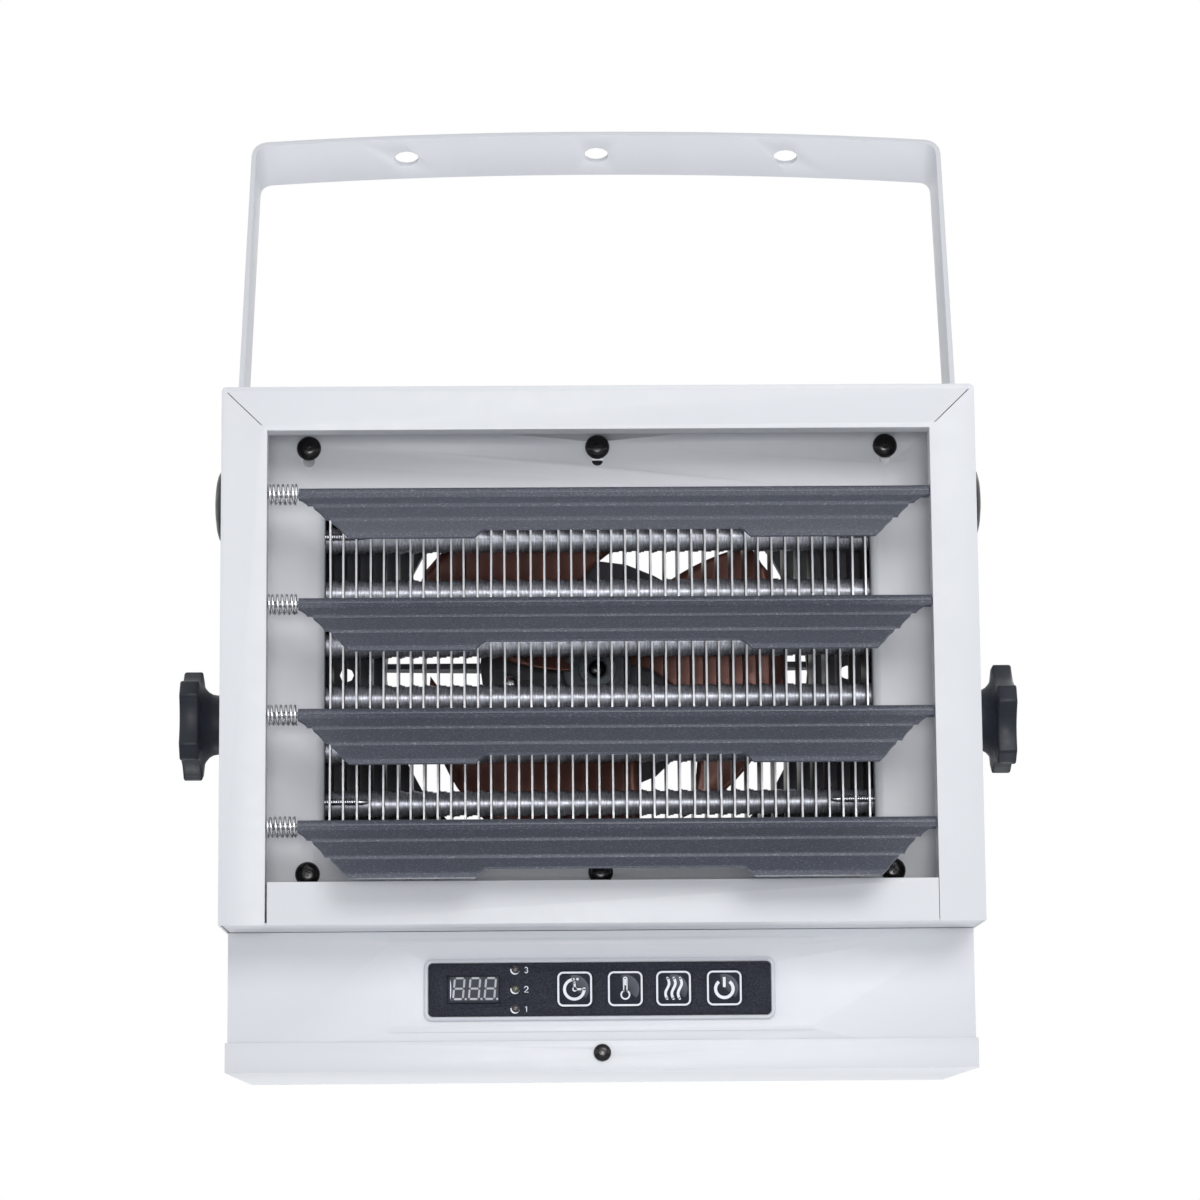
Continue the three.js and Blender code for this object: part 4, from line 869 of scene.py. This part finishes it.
# Rings of the head as (height, inset), then of the shallow dish in its face as (depth, radius).
HEAD_RINGS = (
    (NECK_HEIGHT - 0.1, 1.3), (NECK_HEIGHT, 0.8), (NECK_HEIGHT + 0.3, 0.25),
    (NECK_HEIGHT + 0.8, 0), (KNOB_HEIGHT - 1.0, 0), (KNOB_HEIGHT - 0.4, 0.25),
    (KNOB_HEIGHT, 0.9), (KNOB_HEIGHT, 2.4), (KNOB_HEIGHT, 8),
)
DISH_RINGS = ((0.9, 11.5), (1.1, 6), (1.1, 0.01))
NECK_INSET = 2.6


def knob_mesh(name, place):
    """A waisted neck that opens into a lobed head with a shallow dish."""
    outline = knob_outline()
    rings = []
    for height, size, roundness in NECK_RINGS:
        ring = [size * roundness + (r - NECK_INSET) * (1 - roundness) for r, _ in outline]
        rings.append((height, ring))
    rings += [(height, [r - inset for r, _ in outline]) for height, inset in HEAD_RINGS]
    rings += [(KNOB_HEIGHT - depth, [radius] * len(outline)) for depth, radius in DISH_RINGS]
    points = [
        place @ (Vector((height, r * math.cos(a), r * math.sin(a))) * MM)
        for height, ring in rings
        for r, (_, a) in zip(ring, outline)
    ]
    faces = [*ring_faces(len(rings), len(outline)), tuple(range(len(outline)))]
    return mesh_from(name, points, faces)


PLUG_PROFILE = [
    (0.01, -5), (12.9, -5), (13.4, -4.5), (13.4, -0.2), (17.4, -0.1), (18, 0.4), (17.9, 1.0),
    (17.2, 1.8), (15.5, 2.8), (12.5, 3.6), (8, 4.2), (3, 4.4), (0.01, 4.4),
]
STUD_PROFILE = [(0.01, -15), (3.4, -15), (3.9, -14.5), (3.9, 0.5), (0.01, 0.5)]

for side, sign in (("left", -1), ("right", 1)):
    outward = Matrix.Rotation(0 if sign > 0 else math.pi, 4, "Z")
    low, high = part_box(f"knob_{side}")
    foot_x = (high.x if sign > 0 else low.x) - sign * KNOB_HEIGHT * MM
    turn = Matrix.Rotation(math.radians(KNOB_TURNS[side]), 4, "X")
    place = Matrix.Translation((foot_x, 0, TILT_AXIS_Z)) @ turn @ outward
    body, name = f"knob_{side}", f"clamp_knob_{side}"
    split_edges(add_piece(name, knob_mesh(name, place), body, KNOB, [body]), 50)
    name = f"clamp_stud_{side}"
    stud = turned_mesh(name, STUD_PROFILE, 24, ALONG_X, place)
    add_piece(name, stud, body, ZINC)
    low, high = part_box(f"side_plug_{side}")
    _, middle_y, middle_z = (low + high) / 2
    seat_x = (high.x if sign > 0 else low.x) - sign * SOLID_PLUG_RISE
    place = Matrix.Translation((seat_x, middle_y, middle_z)) @ outward
    name = f"hole_plug_{side}"
    plug = turned_mesh(name, PLUG_PROFILE, 64, ALONG_X, place)
    add_piece(name, plug, "cabinet", BLACK_PLASTIC, [f"side_plug_{side}"])

# ---------------------------------------------------------------- control panel

rounded_copy("panel_overlay", FILM, 0.12, 2)
rounded_copy("display_module", FILM, 0.12, 2)
for key in ("timer", "temperature", "mode", "power"):
    rounded_copy(f"key_{key}", KEY_FILM, 0.18, 2, 50)


class Drawing:
    """Flat printed strokes and shapes, and painted highlights, on a plane that faces the viewer, in millimetres.
    """

    def __init__(self, x, y, z):
        self.origin = Vector((x, y, z))
        self.points = []
        self.faces = []

    def shape(self, outline):
        base = len(self.points)
        self.points += [self.origin + Vector((x * MM, 0, z * MM)) for x, z in outline]
        self.faces.append(tuple(range(base, base + len(outline))))

    def stroke(self, path, width, closed=False, round_ends=True):
        """A ribbon of one width along a path, with round ends when open."""
        count = len(path)
        sides = []
        for i, (x, z) in enumerate(path):
            before = path[i - 1] if i or closed else path[i]
            after = path[(i + 1) % count] if i < count - 1 or closed else path[i]
            along = Vector((after[0] - before[0], after[1] - before[1])).normalized()
            across = Vector((-along.y, along.x)) * width / 2
            sides.append(((x + across.x, z + across.y), (x - across.x, z - across.y)))
        for i in range(count if closed else count - 1):
            (a, b), (d, c) = sides[i], sides[(i + 1) % count]
            self.shape([a, b, c, d])
        if round_ends and not closed:
            for x, z in (path[0], path[-1]):
                self.disc(x, z, width / 2)

    def disc(self, x, z, radius, steps=16):
        self.shape([arc_point(x, z, radius, 360 * k / steps) for k in range(steps)])

    def add(self, name, body, look, slot):
        mesh = mesh_from(name, self.points, self.faces, smooth=False)
        return add_piece(name, mesh, body, look)


def arc_point(x, z, radius, angle):
    return (x + radius * math.cos(math.radians(angle)), z + radius * math.sin(math.radians(angle)))


def arc(x, z, radius, start, end, steps=24):
    return [arc_point(x, z, radius, start + (end - start) * k / steps) for k in range(steps + 1)]


def rounded_square(half, radius):
    """The outline of a square with round corners."""
    flat = half - radius
    corners = ((flat, flat, 0), (-flat, flat, 90), (-flat, -flat, 180), (flat, -flat, 270))
    return [p for x, z, start in corners for p in arc(x, z, radius, start, start + 90, 6)]


def draw_timer(drawing):
    drawing.stroke(arc(-0.2, -0.1, 4.7, 96, 362, 40), 1.4)
    drawing.disc(1.35, 4.7, 0.62)
    drawing.stroke([(0, 3.0), (0, -0.1)], 0.95)
    drawing.stroke([(0, -0.1), (3.4, -0.1)], 0.9)
    drawing.disc(0, -0.1, 1.15)


def draw_thermometer(drawing):
    drawing.stroke(arc(0, -2.9, 2.0, 112, 428, 30), 0.75)
    top = arc(0, 4.7, 0.78, 180, 0, 8)
    drawing.stroke([(-0.78, -1.3), (-0.78, 4.6), *top, (0.78, 4.6), (0.78, -1.3)], 0.55)
    drawing.stroke([(0, 4.7), (0, 1.6)], 1.3, round_ends=False)


def draw_waves(drawing):
    for shift in (-3.0, 0, 3.0):
        path = []
        for k in range(25):
            share = k / 24
            lean = 0.3 * (share - 0.5) - 0.8 * math.sin(2 * math.pi * share)
            path.append((shift + lean, -4.9 + 9.8 * share))
        drawing.stroke(path, 1.25)


def draw_power(drawing):
    drawing.stroke(arc(0, -0.4, 4.2, 127, 413, 36), 1.5, round_ends=False)
    drawing.stroke([(0, 5.2), (0, 0.4)], 1.3, round_ends=False)


ICONS = {
    "timer": draw_timer,
    "temperature": draw_thermometer,
    "mode": draw_waves,
    "power": draw_power,
}
PROUD = 0.03 * MM


def front_drawing(low, high, proud):
    """A drawing at the middle of a box's front."""
    return Drawing((low.x + high.x) / 2, low.y - proud, (low.z + high.z) / 2)


for key, draw in ICONS.items():
    low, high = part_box(f"key_{key}")
    drawing = front_drawing(low, high, PROUD)
    drawing.stroke(rounded_square(7.85, 2.4), 0.9, closed=True)
    draw(drawing)
    drawing.add(f"key_{key}_print", f"key_{key}", PRINT_AND_PAINTED_HIGHLIGHT, "bezel_plastic")
    # A painted highlight in each key's top right corner, palest towards the corner.
    glint = front_drawing(low, high, PROUD / 2)
    glint.shape([*arc(-0.2, -0.2, 6.9, -38, 104, 30), (-1.2, 1.0), (3.6, -3.0)])
    glint.add(f"key_{key}_glint", f"key_{key}", GLINT, "bezel_plastic")

DIGIT_HEIGHT, DIGIT_Z, DIGIT_SLANT = 9.9, 0.6, 0.09
DIGITS_X = (-6.8, 0.7, 8.2)


def draw_digit(drawing, x):
    """The seven segments and the point of one digit, leaning to the right."""
    half, width = DIGIT_HEIGHT / 2, DIGIT_HEIGHT * 0.47 / 2
    bar, gap = DIGIT_HEIGHT * 0.095 / 2, DIGIT_HEIGHT * 0.03

    def lean(points):
        return [(x + px + pz * DIGIT_SLANT, DIGIT_Z + pz) for px, pz in points]

    for z in (-half, 0, half):
        end = width - gap
        upper = [(-end, z), (-end + bar, z + bar), (end - bar, z + bar)]
        drawing.shape(lean([*upper, (end, z), (end - bar, z - bar), (-end + bar, z - bar)]))
    for px in (-width, width):
        for low_z, high_z in ((-half + gap, -gap), (gap, half - gap)):
            left = [(px, low_z), (px - bar, low_z + bar), (px - bar, high_z - bar)]
            right = [(px, high_z), (px + bar, high_z - bar), (px + bar, low_z + bar)]
            drawing.shape(lean([*left, *right]))
    dot_x, dot_z = lean([(width + bar * 3, -half)])[0]
    drawing.disc(dot_x, dot_z, bar * 1.2, 10)


low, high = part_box("display_module")
window = Drawing(low.x, low.y - PROUD / 2, low.z)
window.shape([(1.3, 0.9), (24.4, 0.9), (24.4, 12.5), (1.3, 12.5)])
window.add("display_window", "cabinet", SMOKED, "bezel_plastic")
drawing = front_drawing(low, high, PROUD)
for x in DIGITS_X:
    draw_digit(drawing, x)
drawing.add("display_digits", "cabinet", SEGMENT, "bezel_plastic")
# A painted highlight: a thin pale streak just inside the left edge of the display window, in the print colour.
edge = Drawing(low.x + 1.2 * MM, low.y - PROUD, (low.z + high.z) / 2)
edge.shape([(0.05, -4.6), (0.45, -3.2), (0.6, 0.3), (0.45, 3.4), (0.1, 5.0)])
edge.add("display_painted_highlight", "cabinet", PRINT_AND_PAINTED_HIGHLIGHT, "bezel_plastic")

# ---------------------------------------------------------------- lamps

RING_RADIUS, RING_WIRE, LENS_INSET = 1.95, 0.16, 0.3 * MM
LENS_PROFILE = [
    (1.9, 3.4), (1.9, 0.5), (1.748, 0.2), (1.33, 0.02), (0.76, -0.12), (0.01, -0.16),
]
LABEL_X, LABEL_SIZE, LABEL_STROKE = 5.4, 2.6, 0.42


def ring_mesh(name, centre):
    """A thin raised ring that faces the viewer."""
    steps, sides = 36, 8
    points = []
    for i in range(steps + 1):
        a = 2 * math.pi * i / steps
        for k in range(sides):
            b = 2 * math.pi * k / sides
            r = RING_RADIUS + RING_WIRE * math.cos(b)
            spot = Vector((r * math.cos(a), RING_WIRE * math.sin(b), r * math.sin(a)))
            points.append(centre + spot * MM)
    return mesh_from(name, points, ring_faces(steps + 1, sides))


# The plain numbers 3, 2 and 1 beside the lamps from the top, one unit high.
NUMBERS = (
    [*arc(0, 0.24, 0.26, 150, -90, 8), *arc(0, -0.24, 0.29, 90, -150, 8)],
    [*arc(0, 0.24, 0.32, 165, -30, 8), (-0.34, -0.5), (0.36, -0.5)],
    [(-0.18, 0.32), (0.05, 0.5), (0.05, -0.5)],
)

for number, look in ((1, LENS_DARK), (2, LENS_GREEN), (3, LENS_DARK)):
    node = f"indicator_lamp_{number}"
    low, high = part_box(node)
    centre = Vector(((low.x + high.x) / 2, low.y + LENS_INSET, (low.z + high.z) / 2))
    name = f"lamp_lens_{number}"
    lens = turned_mesh(name, LENS_PROFILE, 32, ALONG_Y, Matrix.Translation(centre))
    add_piece(name, lens, "cabinet", look, [node])
    name = f"lamp_ring_{number}"
    add_piece(name, ring_mesh(name, centre), "cabinet", LENS_DARK)
    # A painted highlight: a pale crescent along the lower edge of each lamp's rim, widest at the lower left, in
    # the print colour.
    painted_rim_highlight = Drawing(centre.x, low.y, centre.z)
    painted_rim_highlight.shape([*arc(0, 0, 2.2, 165, 345, 24), *arc(0.45, 0.45, 2.1, 332, 178, 24)])
    painted_rim_highlight.add(f"lamp_painted_rim_highlight_{number}", "cabinet", PRINT_AND_PAINTED_HIGHLIGHT, "lamp_lens")
    label = Drawing(centre.x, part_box("panel_overlay")[0].y - PROUD, centre.z)
    strokes = [(LABEL_X + x * LABEL_SIZE, z * LABEL_SIZE) for x, z in NUMBERS[number - 1]]
    label.stroke(strokes, LABEL_STROKE)
    label.add(f"lamp_number_{number}", "cabinet", PRINT_AND_PAINTED_HIGHLIGHT, "bezel_plastic")

# ---------------------------------------------------------------- floor, background and light

FLOOR_Z = -0.75
HEATER_CENTRE = Vector((0, 0, 0.2))
AMBIENT = 0.31
BACKDROP = (1.0, 1.0, 1.0, 1)


def white_to_the_eye(tree, lit, output, white):
    """Pure white to the camera and in reflections, and the lit shader to everything else."""
    path = tree.nodes.new("ShaderNodeLightPath")
    seen = tree.nodes.new("ShaderNodeMath")
    seen.operation = "MAXIMUM"
    either = tree.nodes.new("ShaderNodeMath")
    either.operation = "MAXIMUM"
    mix = tree.nodes.new("ShaderNodeMixShader")
    tree.links.new(path.outputs["Is Camera Ray"], seen.inputs[0])
    tree.links.new(path.outputs["Is Glossy Ray"], seen.inputs[1])
    tree.links.new(seen.outputs["Value"], either.inputs[0])
    tree.links.new(path.outputs["Is Transmission Ray"], either.inputs[1])
    tree.links.new(either.outputs["Value"], mix.inputs["Fac"])
    tree.links.new(lit, mix.inputs[1])
    tree.links.new(white, mix.inputs[2])
    tree.links.new(mix.outputs["Shader"], output)


def add_world(strength):
    world = bpy.data.worlds.new("studio")
    bpy.context.scene.world = world
    world.use_nodes = True
    tree = world.node_tree
    ambient = tree.nodes["Background"]
    ambient.inputs["Color"].default_value = (0.93, 0.96, 1.0, 1)
    ambient.inputs["Strength"].default_value = strength
    white = tree.nodes.new("ShaderNodeBackground")
    white.inputs["Color"].default_value = BACKDROP
    white.inputs["Strength"].default_value = 1.0
    output = tree.nodes["World Output"].inputs["Surface"]
    white_to_the_eye(tree, ambient.outputs["Background"], output, white.outputs["Background"])


def add_floor():
    bm = bmesh.new()
    bmesh.ops.create_grid(bm, x_segments=2, y_segments=2, size=6)
    mesh = bpy.data.meshes.new("floor")
    bm.to_mesh(mesh)
    bm.free()
    floor = bpy.data.objects.new("floor", mesh)
    floor.location = (0, 0, FLOOR_Z)
    bpy.context.scene.collection.objects.link(floor)
    look = Look("floor_paint", Roughness=0.9)
    look.colour(look.ramp(look.noise(2, 2), varied((0.86, 0.87, 0.88), 0.01)))
    mesh.materials.append(look.material)


def add_area(name, place, size, power):
    """A soft rectangular light that faces the heater."""
    data = bpy.data.lights.new(name, "AREA")
    data.shape = "RECTANGLE"
    data.size, data.size_y = size
    data.energy = power
    light = bpy.data.objects.new(name, data)
    bpy.context.scene.collection.objects.link(light)
    light.location = place
    light.rotation_mode = "QUATERNION"
    light.rotation_quaternion = (HEATER_CENTRE - Vector(place)).to_track_quat("-Z", "Y")


add_world(AMBIENT)
add_floor()
add_area("key_light", (0.5, -2.3, 0.95), (1.2, 0.8), 18)
add_area("front_light", (0, -2.6, -0.02), (0.6, 0.4), 13.5)
add_area("right_light", (2.2, -1.2, 0.6), (1.0, 1.6), 2)
add_area("left_light", (-2.2, -1.1, 0.5), (1.0, 1.6), 3.5)
add_area("bounce_light", (0, 0.25, -0.73), (1.0, 0.6), 7.5)
add_area("back_light", (1.6, 1.8, 2.0), (1.2, 0.9), 14)

bpy.context.scene.view_settings.view_transform = "Standard"
